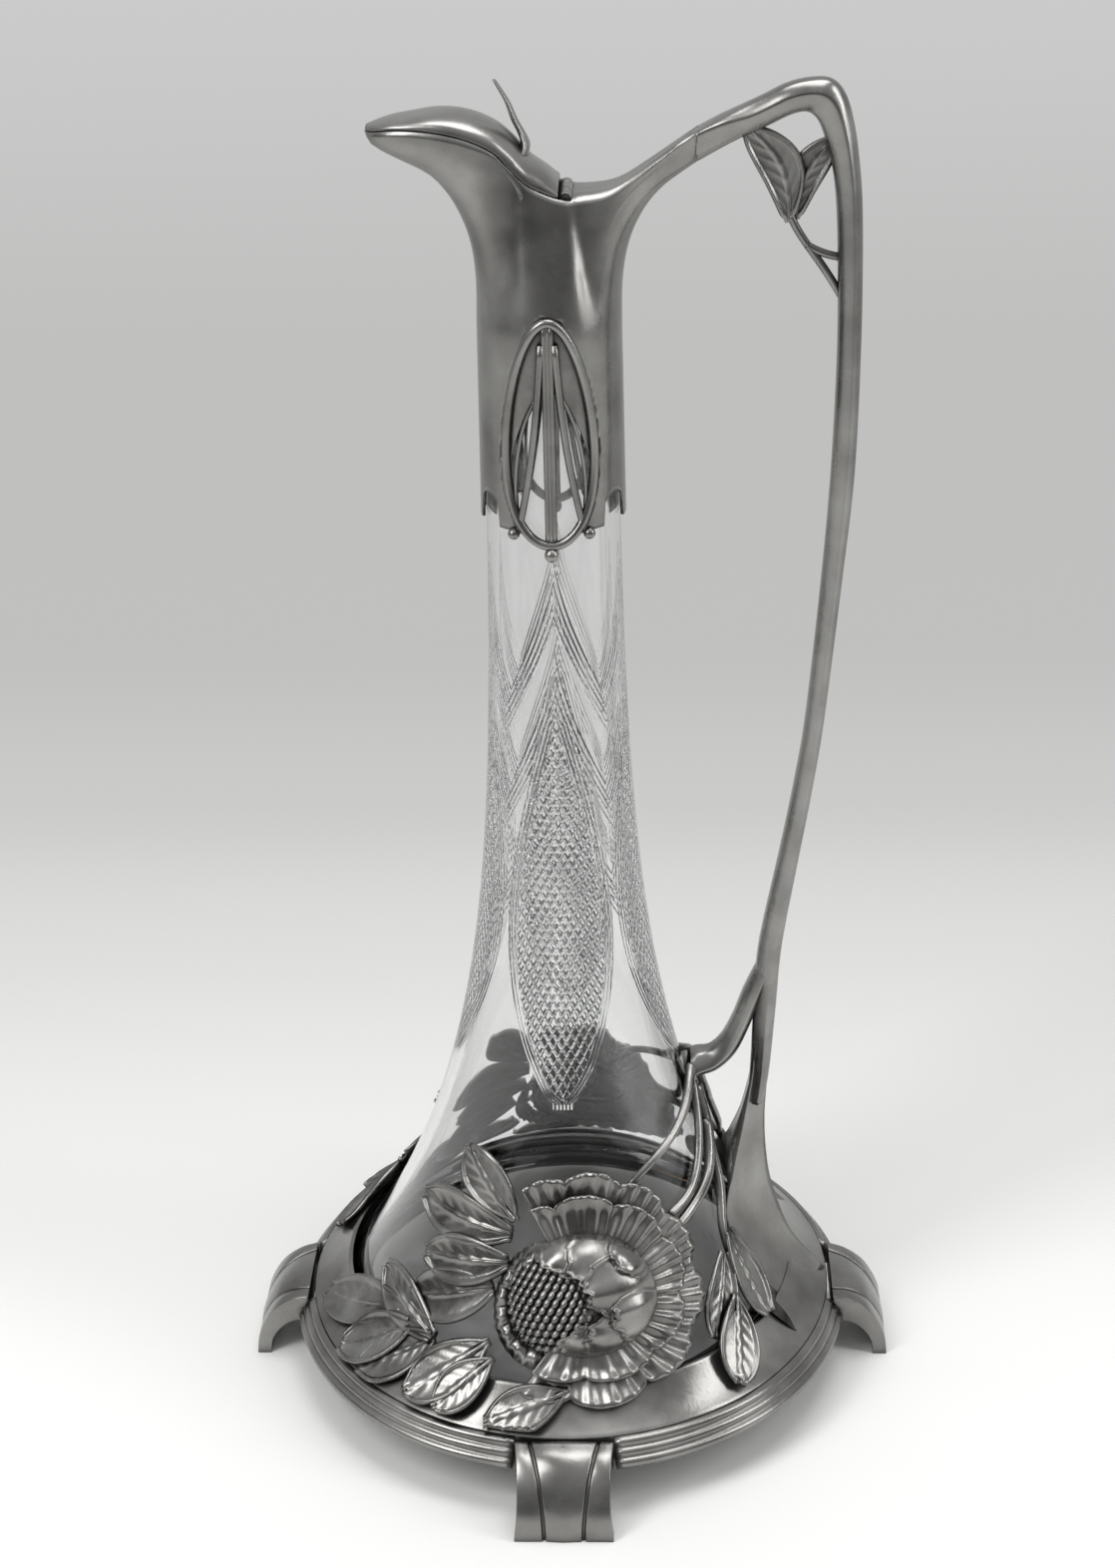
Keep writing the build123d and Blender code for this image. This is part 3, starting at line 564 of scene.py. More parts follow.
def mountPoint(t, z):
    # the mount's surface at turn t and height z
    m = mountForm
    low, high, half, taper = (smoothTable(mountRows, z, c) for c in (1, 2, 3, 4))
    drawIn = 1 - taper * (1 + cos(t)) / 2
    x = (low + high) / 2 + (high - low) / 2 * cos(t)
    y = half * drawIn * sin(t)
    angle = degrees(atan2(abs(y), x))
    strength = 0.3 * max(0.0, min(1.0, (z - 300) / 18)) + 0.7 * max(0.0, min(1.0, (z - 346) / 14))
    strength *= max(0.0, min(1.0, (392 - z) / 18))
    for centre in (90 - m["fluteAngle"], 90 + m["fluteAngle"]):
        pull = m["fluteDepth"] * strength * exp(-(((angle - centre) / m["fluteWidth"]) ** 2))
        scale = 1 - pull / max(sqrt(x * x + y * y), 10)
        x, y = x * scale, y * scale
    return x, y


def mountTop(t):
    m = mountForm
    z = m["collarTop"]
    while z < 402.5:
        x, y = mountPoint(t, z)
        if z >= smoothTable(m["mouth"], x) or x >= m["seam"]:
            break
        z += 0.05
    return z


def mountBottom(t):
    m = mountForm
    for centre in m["arches"]:
        off = (degrees(t) - centre + 180) % 360 - 180
        arc = abs(radians(off)) * m["collarRadius"]
        if arc < 5.2:
            return m["bottom"] + m["archRadius"] / 2 + sqrt(m["archRadius"] ** 2 - arc**2)
    return m["bottom"]


def makeMount():
    m = mountForm
    count = m["columns"]
    turns = [2 * pi * i / count for i in range(count)]
    lows, highs = [mountBottom(t) for t in turns], [mountTop(t) for t in turns]
    rings = []
    for row in range(m["rowCount"] + 1):
        ring = []
        for t, low, high in zip(turns, lows, highs):
            z = low + (high - low) * row / m["rowCount"]
            x, y = mountPoint(t, z)
            ring.append(Vector((x, y, z)) * mm)
        rings.append(ring)
    bm = bmesh.new()
    top = growRings(bm, rings, capped=False)
    for k in range(count // 2):  # the arm is closed on top, behind the hinge
        quad = [top[k], top[k + 1], top[-k - 1], top[-k]] if k else [top[0], top[1], top[-1]]
        if min(vert.co.x for vert in quad) > 0.0065:
            bm.faces.new(quad)
    hidden = []
    for face in bm.faces:
        centre = face.calc_center_median() / mm
        if abs(centre.x) < pearHalf(centre.z, 0.6) and abs(centre.y) > 10:
            hidden.append(face)
    bmesh.ops.delete(bm, geom=hidden, context="FACES")
    finishPiece("neckMount", bm, smoothSilver, nodes=["neck_mount"], wall=m["wall"])

    bm = bmesh.new()
    for side in (-1, 1):
        place = Matrix.Translation(Vector((m["hinge"][0], side * m["knuckleOffset"], m["hinge"][1])) * mm)
        place = place @ Matrix.Rotation(pi / 2, 4, "X")
        bmesh.ops.create_cone(bm, cap_ends=True, segments=28, radius1=m["knuckle"] * mm, radius2=m["knuckle"] * mm,
                              depth=m["knuckleLength"] * mm, matrix=place)
    finishPiece("mountKnuckles", bm, smoothSilver, rounding=0.3)


def tubePiece(name, paths, material, nodes=()):
    curve = bpy.data.curves.new(name, "CURVE")
    curve.dimensions = "3D"
    curve.bevel_depth = 1.0
    curve.bevel_resolution = 4
    curve.use_fill_caps = True
    for points, radius, closed in paths:
        spline = curve.splines.new("NURBS")
        spline.points.add(len(points) - 1)
        for place, point in zip(spline.points, points):
            place.co = (*point, 1)
            place.radius = radius * mm
        spline.order_u = 4
        spline.use_cyclic_u = closed
        spline.use_endpoint_u = not closed
        spline.resolution_u = 6
    shape = bpy.data.objects.new(name + "Line", curve)
    bpy.context.scene.collection.objects.link(shape)
    mesh = bpy.data.meshes.new_from_object(shape.evaluated_get(bpy.context.evaluated_depsgraph_get()))
    bpy.data.objects.remove(shape)
    bm = bmesh.new()
    bm.from_mesh(mesh)
    finishPiece(name, bm, material, nodes=nodes)


def onCollar(x, z, out, side):
    radius = collarOutside(z) + out
    angle = x / collarOutside(z)
    return Vector((radius * sin(angle), side * radius * cos(angle), z)) * mm


def makePanel(name, side, nodes, beadNodes):
    p = panelForm
    outline = []
    for k in range(40):
        turn = 2 * pi * k / 40
        rise = (1 - cos(turn)) / 2
        z = p["bottom"] + 1.3 + (p["top"] - p["bottom"] - 3.2) * rise
        x = 1.19 * (p["half"] - 1.2) * sin(turn) * (1 - 0.35 * rise)
        outline.append(onCollar(x, z, 0.1, side))
    paths = [(outline, p["ring"], True)]
    for line in (
        ((-0.95, 350), (-0.95, 330), (-0.95, 305), (-0.95, 287)),
        ((0.95, 350), (0.95, 330), (0.95, 305), (0.95, 287)),
        ((0.0, 351), (0.0, 330), (0.0, 305), (0.0, 286.5)),
        ((-1.9, 344), (-3.0, 325), (-5.2, 307), (-9.6, 290)),
        ((1.9, 344), (3.0, 325), (5.2, 307), (9.6, 290)),
    ):
        radius = p["barRadius"] if abs(line[-1][0]) < 2 else 1.05
        paths.append(([onCollar(x, z, 0.15, side) for x, z in line], radius, False))
    for sign in (-1, 1):  # rim of each opening
        arch = ((sign * 3.6, 328.5), (sign * 6.6, 324), (sign * 9.4, 314), (sign * 10.6, 303), (sign * 9.8, 294))
        paths.append(([onCollar(x, z, -0.2, side) for x, z in arch], 0.6, False))
    tubePiece(name, paths, smoothSilver, nodes=nodes)

    bm = bmesh.new()

    def field(u, v):  # sunk plate above the openings
        low = 330.5 - 26 * abs(v) ** 2.2
        z = low + (p["top"] - 1.2 - low) * u
        return onCollar(v * pearHalf(z, 0.8), z, -0.75, side)

    addGrid(bm, 28, 30, field)
    finishPiece(name + "Field", bm, chasedSilver, wall=0.5, wallOffset=0)

    bm = bmesh.new()
    for x, z in p["beads"]:
        size = p["bead"] * (1.15 if x == 0 else 0.95)
        place = Matrix.Translation(onCollar(x, z, 0.6, side))
        bmesh.ops.create_uvsphere(bm, u_segments=24, v_segments=14, radius=size * mm, matrix=place)
    finishPiece(name.replace("panel", "beads"), bm, smoothSilver, nodes=beadNodes)


makeMount()
makePanel("panelFront", -1, ["panel_front"], ["beads_front"])
makePanel("panelBack", 1, ["panel_back"], ["beads_back"])
print("neck mount and panels made")

# Lid and thumb piece
lidForm = {
    "gap": 0.4, "stations": 48, "points": 17, "knuckle": 1.9, "knuckleLength": 8.6, "hollow": 1.0,
    "hollowRange": (-0.042, -0.004),
    "rise": ((-48.2, 1.2), (-45.0, 1.6), (-40.0, 2.0), (-35.5, 2.6), (-30.5, 3.8), (-26.0, 4.6),
             (-21.0, 5.2), (-13.5, 5.8), (-9.0, 6.9), (-4.9, 5.8), (0.0, 4.4), (3.4, 2.3)),
}
thumbForm = {
    "rows": ((391, -6.4, 6.2, 2.0), (394, -5.4, 4.4, 1.4), (397, -6.4, 2.6, 1.1), (400.5, -8.2, 2.1, 1.0),
             (405, -9.9, 1.8, 0.8), (409, -12.2, 1.5, 0.6), (411, -13.4, 1.1, 0.5)),
    "stations": 30,
}


def lidHalf(x, z):
    low, high, half, taper = (smoothTable(mountRows, z, c) for c in (1, 2, 3, 4))
    along = max(-1.0, min(1.0, (2 * x - low - high) / (high - low)))
    return max(1.2, half * (1 - taper * (1 + along) / 2) * sqrt(1 - along**2))


def makeLid():
    f = lidForm
    first, last = f["rise"][0][0], f["rise"][-1][0]
    rings = []
    for k in range(f["stations"]):
        x = first + (last - first) * (k / (f["stations"] - 1)) ** 0.9
        seat = smoothTable(mountForm["mouth"], x) + f["gap"]
        half, rise = lidHalf(x, seat), smoothTable(f["rise"], x)
        ring = [Vector((x, -half, seat)) * mm]
        for i in range(f["points"]):
            turn = pi - pi * i / (f["points"] - 1)
            lift = 0.5 + max(rise - 0.5, 0.2) * sin(turn) ** 0.85
            ring.append(Vector((x, half * cos(turn) * 0.995, seat + lift)) * mm)
        ring.append(Vector((x, half, seat)) * mm)
        rings.append(ring)
    bm = bmesh.new()
    growRings(bm, rings)
    bmesh.ops.recalc_face_normals(bm, faces=bm.faces)
    low, high = f["hollowRange"]
    under = [face for face in bm.faces if face.normal.z < -0.5 and low < face.calc_center_median().x < high]
    bmesh.ops.inset_region(bm, faces=under, thickness=1.2 * mm, depth=-f["hollow"] * mm)
    hinge = Vector((mountForm["hinge"][0], 0, mountForm["hinge"][1])) * mm
    place = Matrix.Translation(hinge) @ Matrix.Rotation(pi / 2, 4, "X")
    bmesh.ops.create_cone(bm, cap_ends=True, segments=28, radius1=f["knuckle"] * mm, radius2=f["knuckle"] * mm,
                          depth=f["knuckleLength"] * mm, matrix=place)
    finishPiece("lidDome", bm, smoothSilver, body="lid", nodes=["lid"], rounding=0.25)


def makeThumb():
    f = thumbForm
    rings = []
    turns = [2 * pi * k / 14 for k in range(14)]
    for height, x, half, thick in resample(f["rows"], f["stations"]):
        fork = 0.35 * max(0.0, (396 - height) / 5)
        rings.append([Vector((x + thick * cos(t) * (1 - fork * sin(t) ** 2), half * sin(t), height)) * mm
                      for t in turns])
    bm = bmesh.new()
    growRings(bm, rings)
    finishPiece("thumbBlade", bm, smoothSilver, body="lid", nodes=["thumb_piece"], smooth=1)


makeLid()
makeThumb()
print("lid made")

# Handle
handleForm = {
    "stations": (
        (39.2, 388.4, 39.2, 395.8, 4.0), (41, 388.9, 41, 397.1, 4.42), (45.5, 391.4, 44.4, 399.1, 4.8),
        (51.6, 394.6, 48.6, 401.3, 5.3),
        (60.3, 398.5, 57.9, 405.5, 5.2), (65.8, 401.0, 64.4, 408.6, 5.2), (69.6, 401.7, 70.6, 410.0, 5.2),
        (71.9, 400.5, 76.4, 409.6, 5.2), (73.6, 398.1, 80.2, 405.4, 5.2), (75.2, 393.8, 82.5, 398.0, 5.2),
        (76.9, 388.0, 83.9, 390.2, 5.2), (78.4, 377.5, 85.2, 378.5, 5.2), (79.3, 361.0, 85.9, 361.5, 5.2),
        (79.8, 335.0, 86.2, 335.0, 5.2), (79.0, 301.0, 85.5, 300.3, 5.1), (77.1, 269.0, 82.9, 268.2, 5.0),
        (73.5, 225.0, 78.8, 223.8, 4.8), (70.4, 202.0, 75.8, 200.6, 4.8), (66.3, 178.0, 72.0, 176.3, 4.8),
        (61.8, 154.0, 68.2, 151.8, 4.9), (60.0, 141.0, 66.9, 139.4, 4.9), (59.4, 128.0, 66.2, 127.2, 4.8),
        (58.7, 107.0, 64.8, 106.8, 4.6), (58.2, 97.0, 63.8, 97.0, 4.5), (57.6, 90.0, 62.6, 90.0, 4.2),
    ),
    "branch": (
        (62.4, 145.0, 66.0, 140.0, 3.6), (56.3, 131.0, 61.4, 128.0, 4.6), (52.8, 121.0, 57.9, 118.0, 4.6),
        (49.2, 113.4, 53.8, 108.5, 4.8), (45.4, 109.4, 48.2, 102.4, 5.2), (41.4, 108.4, 41.8, 100.0, 6.4),
        (39.5, 107.4, 39.0, 97.0, 7.4),
    ),
    # half sections from the inner to the outer edge: share of the depth, share of the half width
    "barSide": ((0.0, 0.42), (0.08, 0.62), (0.56, 0.98), (0.62, 1.0), (0.70, 0.95), (0.94, 0.6), (1.0, 0.42)),
    "armSide": ((0.0, 0.3), (0.3, 0.6), (0.6, 0.8), (0.8, 0.91), (0.97, 1.0), (1.0, 0.93), (1.01, 0.45)),
    "samples": 150, "webLow": 78.0, "webHigh": 108.0, "webHalf": 9.0,
}


def barRings(stations, samples):
    h = handleForm
    rings = []
    for ix, iz, ox, oz, half in resample(stations, samples):
        low, high = Vector((ix, 0, iz)), Vector((ox, 0, oz))
        depth = high - low
        ring = []
        blend = max(0.0, min(1.0, (54 - ox) / 13)) if oz > 385 else 0.0
        side = [(bar[0] + (arm[0] - bar[0]) * blend, bar[1] + (arm[1] - bar[1]) * blend)
                for bar, arm in zip(h["barSide"], h["armSide"])]
        outline = [(share, -reach) for share, reach in side] + [(1.03, 0.0)] + side[::-1] + [(-0.02, 0.0)]
        for share, reach in outline:
            ring.append((low + depth * share + Vector((0, reach * half, 0))) * mm)
        rings.append(ring)
    return rings


def makeHandle():
    h = handleForm
    bm = bmesh.new()
    growRings(bm, barRings(h["stations"], h["samples"]))
    growRings(bm, barRings(h["branch"], 40))

    def web(u, v):
        z = h["webLow"] + (h["webHigh"] - h["webLow"]) * u
        half = h["webHalf"] * sin(pi * u**0.8) ** 0.7 if 0 < u < 1 else 0.2
        lift = -0.9 + 1.9 * (1 - v * v) ** 0.5
        return onSkirt(degrees(v * half / skirtRadius(z)), z, lift)

    addGrid(bm, 24, 30, web)
    finishPiece("handleBar", bm, handleSilver, nodes=["handle"])


def spoon(u, wide):
    # half width of a spoon-shaped leaf, widest past its middle, with a round tip
    return wide * max(0.06, sin(pi * min(1.0, u) ** 1.25)) ** 0.55


def leafHeight(u, v, rim, rib, veins):
    dish = -0.55 * (1 - v**4) * sin(pi * min(1, u * 0.95 + 0.05)) ** 0.5
    edge = rim * max(0.0, (abs(v) - 0.8) / 0.2) ** 0.8 + rim * max(0.0, (u - 0.93) / 0.07) * 0.6
    middle = rib * exp(-((v / 0.085) ** 2)) * (1 - 0.6 * u)
    phase = (u * 6.5 - abs(v) * 1.7) % 1.0
    vein = veins * exp(-(((phase - 0.5) / 0.13) ** 2)) * max(0.0, 1 - abs(v)) * min(1, 4 * u)
    return dish + edge + middle + vein


cornerForm = {
    # root, tip, half width, bow, and how far the leaf stands forward
    "leaves": (((65.6, 371.8), (54.4, 397.4), 5.9, -4.0, 0.5), ((67.6, 372.4), (77.8, 394.0), 4.6, 2.8, -0.9)),
    "stems": (((66.1, 373.5), (67.4, 370.4), (71.2, 364.6), (76.0, 358.5), (80.8, 350.5)),
              ((70.6, 365.4), (74.0, 363.2), (78.0, 362.0), (81.0, 361.8))),
    "stemRadius": 1.15,
}


def makeCornerLeaves():
    f = cornerForm
    bm = bmesh.new()
    for root, tip, wide, bow, forward in f["leaves"]:
        line = Vector((tip[0] - root[0], 0, tip[1] - root[1]))
        across = Vector((line.z, 0, -line.x)).normalized()

        def leaf(u, v):
            half = spoon(u, wide) * min(1.0, 0.35 + 7 * u)
            middle = Vector((root[0], 0, root[1])) + line * u + across * bow * -sin(pi * u)
            lift = Vector((0, -forward - leafHeight(u, v, 0.6, 0.6, 0.15), 0))
            return (middle + across * half * v + lift) * mm

        addGrid(bm, 26, 44, leaf)
    finishPiece("cornerLeaves", bm, chasedSilver, nodes=["handle_leaves"], wall=1.3, wallOffset=0, smooth=1)
    paths = [([Vector((x, 0, z)) * mm for x, z in line], f["stemRadius"], False) for line in f["stems"]]
    tubePiece("cornerStems", paths, handleSilver)


makeHandle()
makeCornerLeaves()
print("handle made")

# Relief ornament on the skirt
ornamentForm = {
    # climb is the share of a length up the skirt that is height
    "centre": (-84.0, 57.0), "climb": 0.84, "headRadius": 21.0, "headHeight": 14.0,
    "leafRim": 0.8, "leafRib": 0.8, "leafVeins": 0.28, "leafLow": 23.4, "ruffLow": 23.6,
    "left": (((-107, 76), (-132, 94), 8.0), ((-108, 72), (-148, 72), 8.4), ((-108, 64), (-138, 58), 8.0),
             ((-112, 56), (-138, 45), 8.6)),
    "low": (((-140, 41), (-167, 27), 7.2), ((-126, 38), (-152, 46.5), 6.6), ((-134, 38), (-149, 24.5), 7.2),
            ((-126, 38), (-141, 24), 6.8), ((-110, 42), (-127, 24.5), 8.0), ((-108, 38), (-119, 24), 6.6),
            ((-89, 32), (-107, 24), 6.4)),
    "right": (((-34, 54), (-49, 36), 5.6), ((-28.5, 58), (-30.5, 33), 6.0), ((-38, 43), (-50, 24.5), 7.0)),
    # reach, height and number of lobes of each layer of the pleated ruff
    "ruffLayers": ((38.0, 3.4, 11), (31.0, 5.6, 9)), "ruffStart": -118, "ruffEnd": 122, "ruffInner": 12.0,
    "stalks": (((-6, 104, 2.2), (-14, 102, 1.9), (-30, 96, 1.5), (-59, 86.7, 1.2), (-70, 80, 1.2)),
               ((-7, 98, 2.2), (-12, 86, 2.1), (-24, 76, 1.9), (-42, 70, 1.7), (-56, 66, 1.5)),
               ((-12, 88, 1.9), (-20, 71, 1.8), (-29, 60, 1.6), (-32, 50, 1.3)),
               ((-8, 100, 1.6), (-22, 86, 1.5), (-36, 76, 1.4), (-50, 72, 1.3))),
    # where each folded petal starts round the head, its half width, where its tip lies, and its layer
    "petals": ((96, 10.0, (-12, 10), 0.4), (-82, 9.0, (-8, -15), 0.4), (52, 10.0, (-4, 7), 1.5),
               (-50, 9.5, (-1, -12), 1.4), (14, 10.5, (-1, 0), 2.7), (-20, 8.5, (5, -9), 3.8), (40, 7.0, (8, 9), 3.6)),
    "seedCentre": (-11.0, -4.0), "seedRadii": (12.0, 15.5), "scaleWidth": 2.1, "scaleRow": 2.6,
}


def reliefPoint(a, b, out):
    # a runs round the jug and b up its side, in millimetres from the flower's centre
    angle, height = ornamentForm["centre"]
    z = height + b * ornamentForm["climb"]
    return onSkirt(angle + degrees(a / skirtRadius(height)), z, out)


def headHeight(a, b):
    f = ornamentForm
    share = min(1.0, sqrt(a * a + b * b) / (f["headRadius"] + 1.0))
    return f["headHeight"] * sqrt(1 - share**2)


def makeLeaves(bm, group):
    f = ornamentForm
    for order, (base, tip, wide) in enumerate(f[group]):
        spin = degrees(1 / skirtRadius((base[1] + tip[1]) / 2))
        run, rise = (tip[0] - base[0]) / spin, (tip[1] - base[1]) / f["climb"]
        length = sqrt(run * run + rise * rise)
        lift = 1.5 + 0.35 * (order % 3)

        def place(u, v):
            off = spoon(u, wide) * v / length
            angle = base[0] + (tip[0] - base[0]) * u - rise * off * spin
            z = base[1] + (tip[1] - base[1]) * u + run * off * f["climb"]
            height = leafHeight(u, v, f["leafRim"], f["leafRib"], f["leafVeins"]) + 0.8 * sin(pi * u)
            return onSkirt(angle, max(z, f["leafLow"]), lift + height)

        addGrid(bm, 22, 34, place)


def makeRuff(bm):
    f = ornamentForm
    for order, (reach, lift, lobes) in enumerate(f["ruffLayers"]):

        def place(u, v):
            turn = radians(f["ruffStart"] + (f["ruffEnd"] - f["ruffStart"]) * (v + 1) / 2)
            lobe = abs(sin(0.5 * lobes * turn + order)) ** 0.5
            outer = reach * (1 + 0.08 * sin(turn)) * (0.9 + 0.1 * lobe)
            rho = f["ruffInner"] + (outer - f["ruffInner"]) * u
            fine = 0.5 * cos(4 * lobes * turn) * (0.3 + 0.7 * u)
            fold = 1.1 * lobe * u
            curl = lift - 2.2 * u + 1.2 * max(0.0, u - 0.8) / 0.2
            a, b = rho * cos(turn), rho * sin(turn)
            low = (f["ruffLow"] - f["centre"][1]) / f["climb"]
            return reliefPoint(a, max(b, low), curl + fine + fold)

        addGrid(bm, 260, 16, place)


def petalHeight(a, b, petal, order):
    # height of one folded petal above the head, nothing outside its outline
    start, wide, tip, layer = petal
    radius = ornamentForm["headRadius"] * 1.05
    root = Vector((radius * cos(radians(start)), radius * sin(radians(start))))
    line = Vector(tip) - root
    length = line.length
    line /= length
    spot = Vector((a, b)) - root
    along, off = spot.dot(line) / length, line.x * spot.y - line.y * spot.x
    half = wide * (0.75 + 0.4 * sin(pi * min(1.0, max(0.0, along))))
    across = off / half
    reach = 1 - 0.2 * across**2 + 0.035 * cos(8 * across + order) + 0.02 * cos(19 * across)
    edge = min((1 - abs(across)) * half, (reach - along) * length)
    if edge <= 0 or along < -0.1:
        return 0.0
    step = min(1.0, edge / 0.9) ** 0.7
    lip = 0.9 * exp(-(((edge - 0.9) / 0.7) ** 2)) * min(1.0, max(0.0, along * 1.6))
    crease = 0.45 * cos(6.5 * across + order * 1.7) * max(0.0, along)
    bulge = 1.5 * (1 - across**2) * sin(pi * min(1.0, max(0.0, 0.1 + 0.8 * along)))
    return step * (layer + bulge + crease) + lip


def makeHead(bm):
    f = ornamentForm
    radius = f["headRadius"]

    def core(u, v):
        turn, share = pi * v, u
        a, b = radius * share * cos(turn), radius * share * sin(turn)
        if share > 0.999:
            return reliefPoint(a, b, 0.2)
        folds = max(petalHeight(a, b, petal, k) for k, petal in enumerate(f["petals"]))
        return reliefPoint(a, b, headHeight(a, b) - 0.8 + folds * min(1.0, (1 - share) * 12))

    addGrid(bm, 260, 74, core)


def makeSeeds(bm):
    f = ornamentForm
    cx, cy = f["seedCentre"]
    ra, rb = f["seedRadii"]
    row = -int(rb / f["scaleRow"])
    while row * f["scaleRow"] < rb:
        for k in range(-8, 9):
            a = (k + 0.5 * (row % 2)) * f["scaleWidth"]
            b = row * f["scaleRow"]
            if (a / ra) ** 2 + (b / rb) ** 2 > 1:
                continue
            out = headHeight(cx + a, cy + b) * 0.86 + 2.2 * (1 - (a / ra) ** 2 - (b / rb) ** 2) + 0.6
            here = reliefPoint(cx + a, cy + b, out)
            outward = (reliefPoint(cx + a - 1.2, cy + b + 1.6, out + 3) - here).normalized()
            tilt = outward.to_track_quat("Z", "Y").to_matrix().to_4x4()
            size = Matrix.Diagonal((0.56 * f["scaleWidth"] * mm, 0.66 * f["scaleRow"] * mm, 0.75 * mm, 1))
            place = Matrix.Translation(here) @ tilt @ size
            bmesh.ops.create_uvsphere(bm, u_segments=8, v_segments=6, radius=1, matrix=place)
        row += 1
    for k in range(9):  # curled florets round the open side of the disc
        turn = radians(96 + 20.5 * k)

        def floret(u, v):
            reach = 0.93 + 0.4 * u
            spread = turn + 0.17 * v * (1 + 0.3 * u)
            a, b = cx + ra * reach * cos(spread), cy + rb * reach * sin(spread)
            curl = 3.0 * sin(pi * (0.2 + 0.8 * u)) * sqrt(1 - 0.7 * v * v) + 0.4 * cos(2.4 * pi * v) * u
            return reliefPoint(a, b, headHeight(a, b) * 0.6 + 1.0 + curl)

        addGrid(bm, 14, 12, floret)


def makeStalks(bm):
    for line in ornamentForm["stalks"]:
        rows = resample(line, 34)
        centres = [onSkirt(angle, z, 0.6 * size) for angle, z, size in rows]
        rings = []
        for k, (angle, z, size) in enumerate(rows):
            ahead = (centres[min(k + 1, 33)] - centres[max(k - 1, 0)]).normalized()
            out = (onSkirt(angle, z, 3) - onSkirt(angle, z)).normalized()
            side = ahead.cross(out).normalized()
            rings.append([centres[k] + (side * cos(2 * pi * i / 12) + out * 0.85 * sin(2 * pi * i / 12)) * size * mm
                          for i in range(12)])
        growRings(bm, rings)


for name, maker, given, node, wall in (
    ("leavesLeft", makeLeaves, ("left",), "leaves_left", 1.3),
    ("leavesLow", makeLeaves, ("low",), "leaves_low", 1.3),
    ("leavesRight", makeLeaves, ("right",), "leaves_right", 1.3),
    ("ruffPetals", makeRuff, (), "ruff", 1.0),
    ("flowerHead", makeHead, (), "flower_head", 0.9),
    ("flowerSeeds", makeSeeds, (), None, None),
    ("flowerStalks", makeStalks, (), "stalks", None),
):
    for side in ("front", "back"):
        bm = bmesh.new()
        maker(bm, *given)
        if side == "back":
            mirrored(bm)
        finishPiece(name + side.title(), bm, chasedSilver, nodes=[f"{node}_{side}"] if node else (), wall=wall)
print("ornament made")

# Stage, light and camera
stageForm = {
    "front": -3.0, "bend": 0.24, "bendRadius": 0.16, "top": 1.6, "half": 3.0,
    # floor colour: painted shade, lighter at the front and darker towards the back, where the lamps' light falls off
    "floorPaintedShade": ((0, (0.86, 0.86, 0.85, 1)), (1, (0.56, 0.56, 0.555, 1))),
    # backdrop: painted light, a glowing wall whose brightness by height is painted in, though it is no lamp
    "wallPaintedGlow": ((0, (0.66, 0.66, 0.655, 1)), (0.06, (0.6, 0.6, 0.594, 1)), (0.22, (0.53, 0.53, 0.5247, 1)),
                  (0.5, (0.525, 0.525, 0.51975, 1)), (1, (0.6, 0.6, 0.6, 1))),
}
# brightness of the room, from straight down to straight up
roomTones = ((0, 0.30), (0.45, 0.22), (0.6, 0.30), (0.8, 0.85), (1, 1.0))


def makeStage():
    s = stageForm
    profile = [(s["front"], 0.0), (-0.5, 0.0), (s["bend"], 0.0)]
    for k in range(1, 13):
        turn = pi / 2 * k / 12
        profile.append((s["bend"] + s["bendRadius"] * sin(turn), s["bendRadius"] * (1 - cos(turn))))
    profile.append((s["bend"] + s["bendRadius"], s["top"]))
    bm = bmesh.new()
    verts = [bm.verts.new((-s["half"], y, z)) for y, z in profile]
    edges = [bm.edges.new(pair) for pair in zip(verts, verts[1:])]
    grown = bmesh.ops.extrude_edge_only(bm, edges=edges)["geom"]
    moved = [item for item in grown if isinstance(item, bmesh.types.BMVert)]
    bmesh.ops.translate(bm, vec=(2 * s["half"], 0, 0), verts=moved)
    mesh = bpy.data.meshes.new("sweep")
    bm.to_mesh(mesh)
    bm.free()
    for face in mesh.polygons:
        face.use_smooth = True
    material, nodes, links, shader = newMaterial("paleSweep")
    shader.inputs["Roughness"].default_value = 0.8
    place = placeParts(nodes, links)
    # painted shade: the floor's base colour darkens with depth in place of the lamps' fall-off
    distance = addRange(nodes, links, place["Y"], (-0.05, 0.36))
    links.new(addRamp(nodes, links, distance, s["floorPaintedShade"]), shader.inputs["Base Color"])
    # painted light: above the floor the sweep glows, with its shading by height painted into the emission
    height = addRange(nodes, links, place["Z"], (0, 0.4))
    glow = nodes.new("ShaderNodeEmission")
    links.new(addRamp(nodes, links, height, s["wallPaintedGlow"], "EASE"), glow.inputs["Color"])
    mix = nodes.new("ShaderNodeMixShader")
    links.new(addRange(nodes, links, place["Z"], (0.0005, 0.03)), mix.inputs["Fac"])
    links.new(shader.outputs["BSDF"], mix.inputs[1])
    links.new(glow.outputs["Emission"], mix.inputs[2])
    links.new(mix.outputs["Shader"], nodes["Material Output"].inputs["Surface"])
    mesh.materials.append(material)
    sweep = bpy.data.objects.new("sweep", mesh)
    bpy.context.scene.collection.objects.link(sweep)


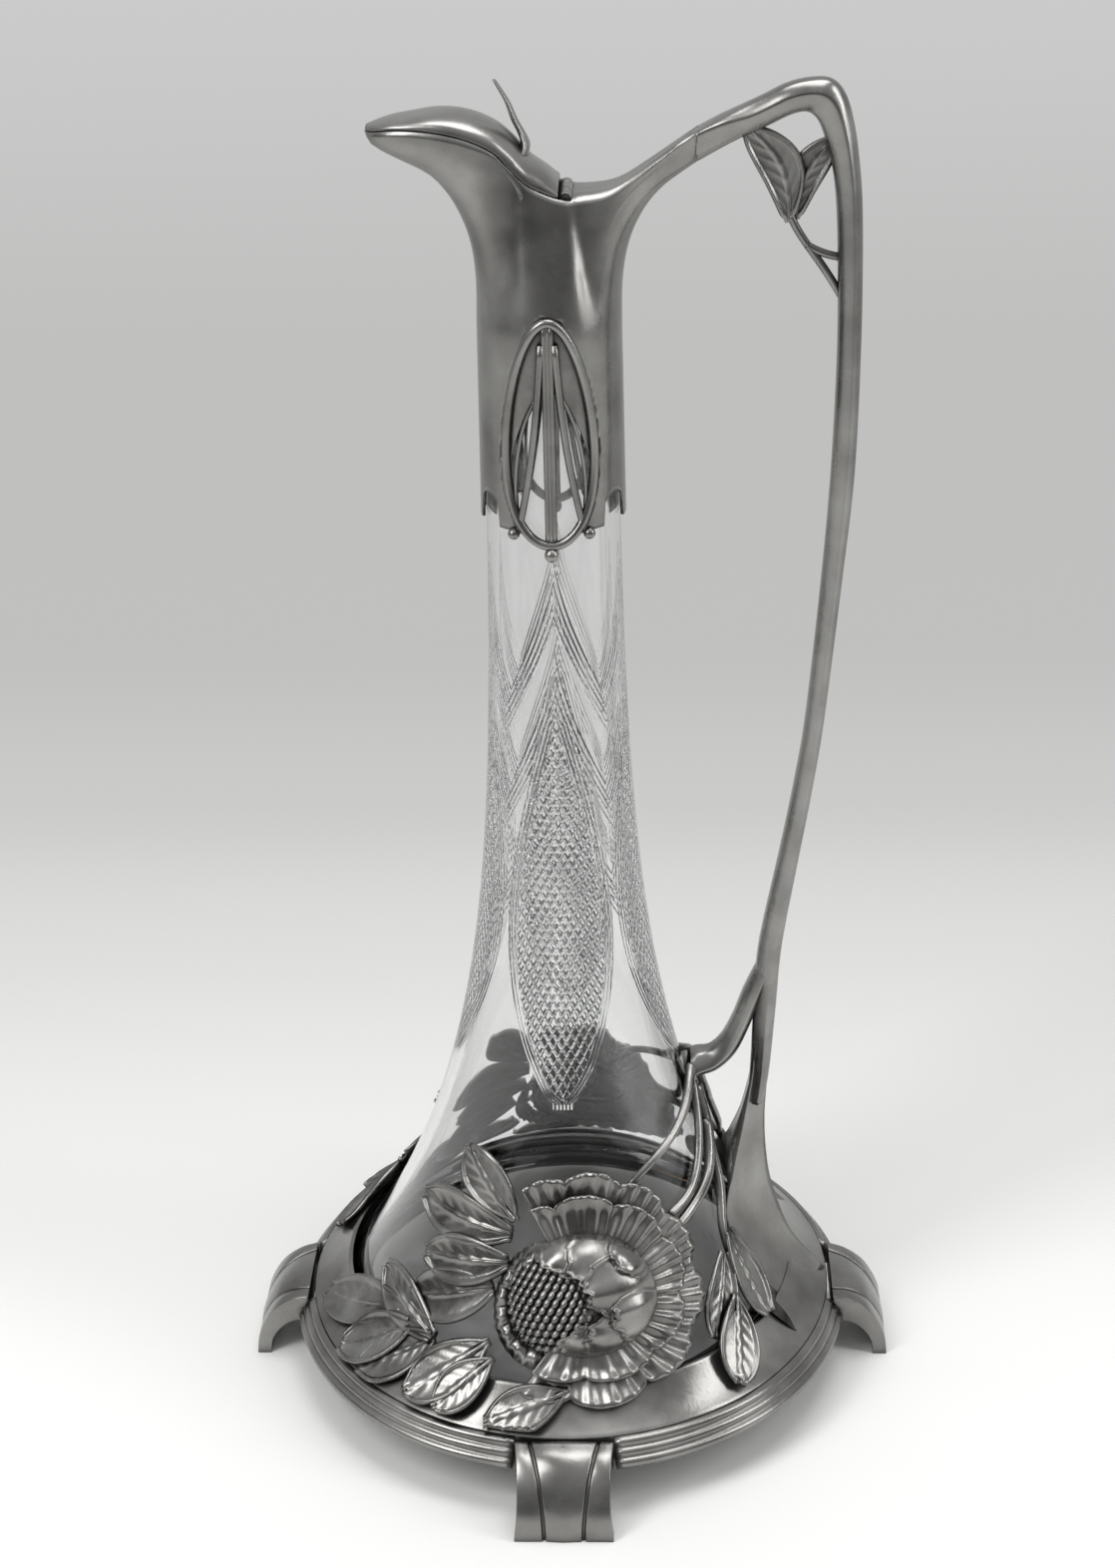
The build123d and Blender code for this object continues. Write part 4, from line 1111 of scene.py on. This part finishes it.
def makeWorld():
    world = bpy.data.worlds.new("softRoom")
    bpy.context.scene.world = world
    world.use_nodes = True
    nodes, links = world.node_tree.nodes, world.node_tree.links
    height = addRange(nodes, links, placeParts(nodes, links, "Generated")["Z"], (-1, 1))
    tones = [(position, (value, value, value, 1)) for position, value in roomTones]
    links.new(addRamp(nodes, links, height, tones), nodes["Background"].inputs["Color"])
    nodes["Background"].inputs["Strength"].default_value = 0.6


lampForm = {
    # name: place, aim, width, height, power
    "keyLamp": ((-0.75, -0.55, 1.05), (0, 0, 0.15), 0.4, 0.9, 7.5),
    "topLamp": ((0.1, 0.15, 1.35), (0, 0, 0.1), 0.8, 0.6, 7.0),
    "sideLamp": ((0.95, -0.25, 0.75), (0, 0, 0.2), 0.18, 0.9, 3.5),
}


def makeLamps():
    for name, (place, aim, width, height, power) in lampForm.items():
        lamp = bpy.data.lights.new(name, "AREA")
        lamp.shape = "RECTANGLE"
        lamp.size, lamp.size_y, lamp.energy = width, height, power
        piece = bpy.data.objects.new(name, lamp)
        piece.location = place
        piece.rotation_euler = (Vector(aim) - Vector(place)).to_track_quat("-Z", "Y").to_euler()
        bpy.context.scene.collection.objects.link(piece)


cameraForm = {
    "distance": 0.6984, "height": 0.5436, "turn": 0.0387, "tilt": 0.4547, "roll": 0.0230, "shift": -0.0007,
    "lens": 59.22,
}


def makeCamera():
    c = cameraForm
    lens = bpy.data.cameras.new("photoCamera")
    lens.lens = c["lens"]
    lens.sensor_width = 36
    camera = bpy.data.objects.new("photoCamera", lens)
    place = Vector((c["distance"] * sin(c["turn"]) + c["shift"] * cos(c["turn"]),
                    -c["distance"] * cos(c["turn"]) + c["shift"] * sin(c["turn"]), c["height"]))
    aim = Matrix.Rotation(c["turn"], 4, "Z") @ Matrix.Rotation(pi / 2 - c["tilt"], 4, "X")
    camera.matrix_world = Matrix.Translation(place) @ aim @ Matrix.Rotation(-c["roll"], 4, "Z")
    bpy.context.scene.collection.objects.link(camera)
    bpy.context.scene.camera = camera


makeStage()
makeWorld()
makeLamps()
makeCamera()
bpy.context.scene.view_settings.view_transform = "Standard"
bpy.context.view_layer.update()
print("scene made")
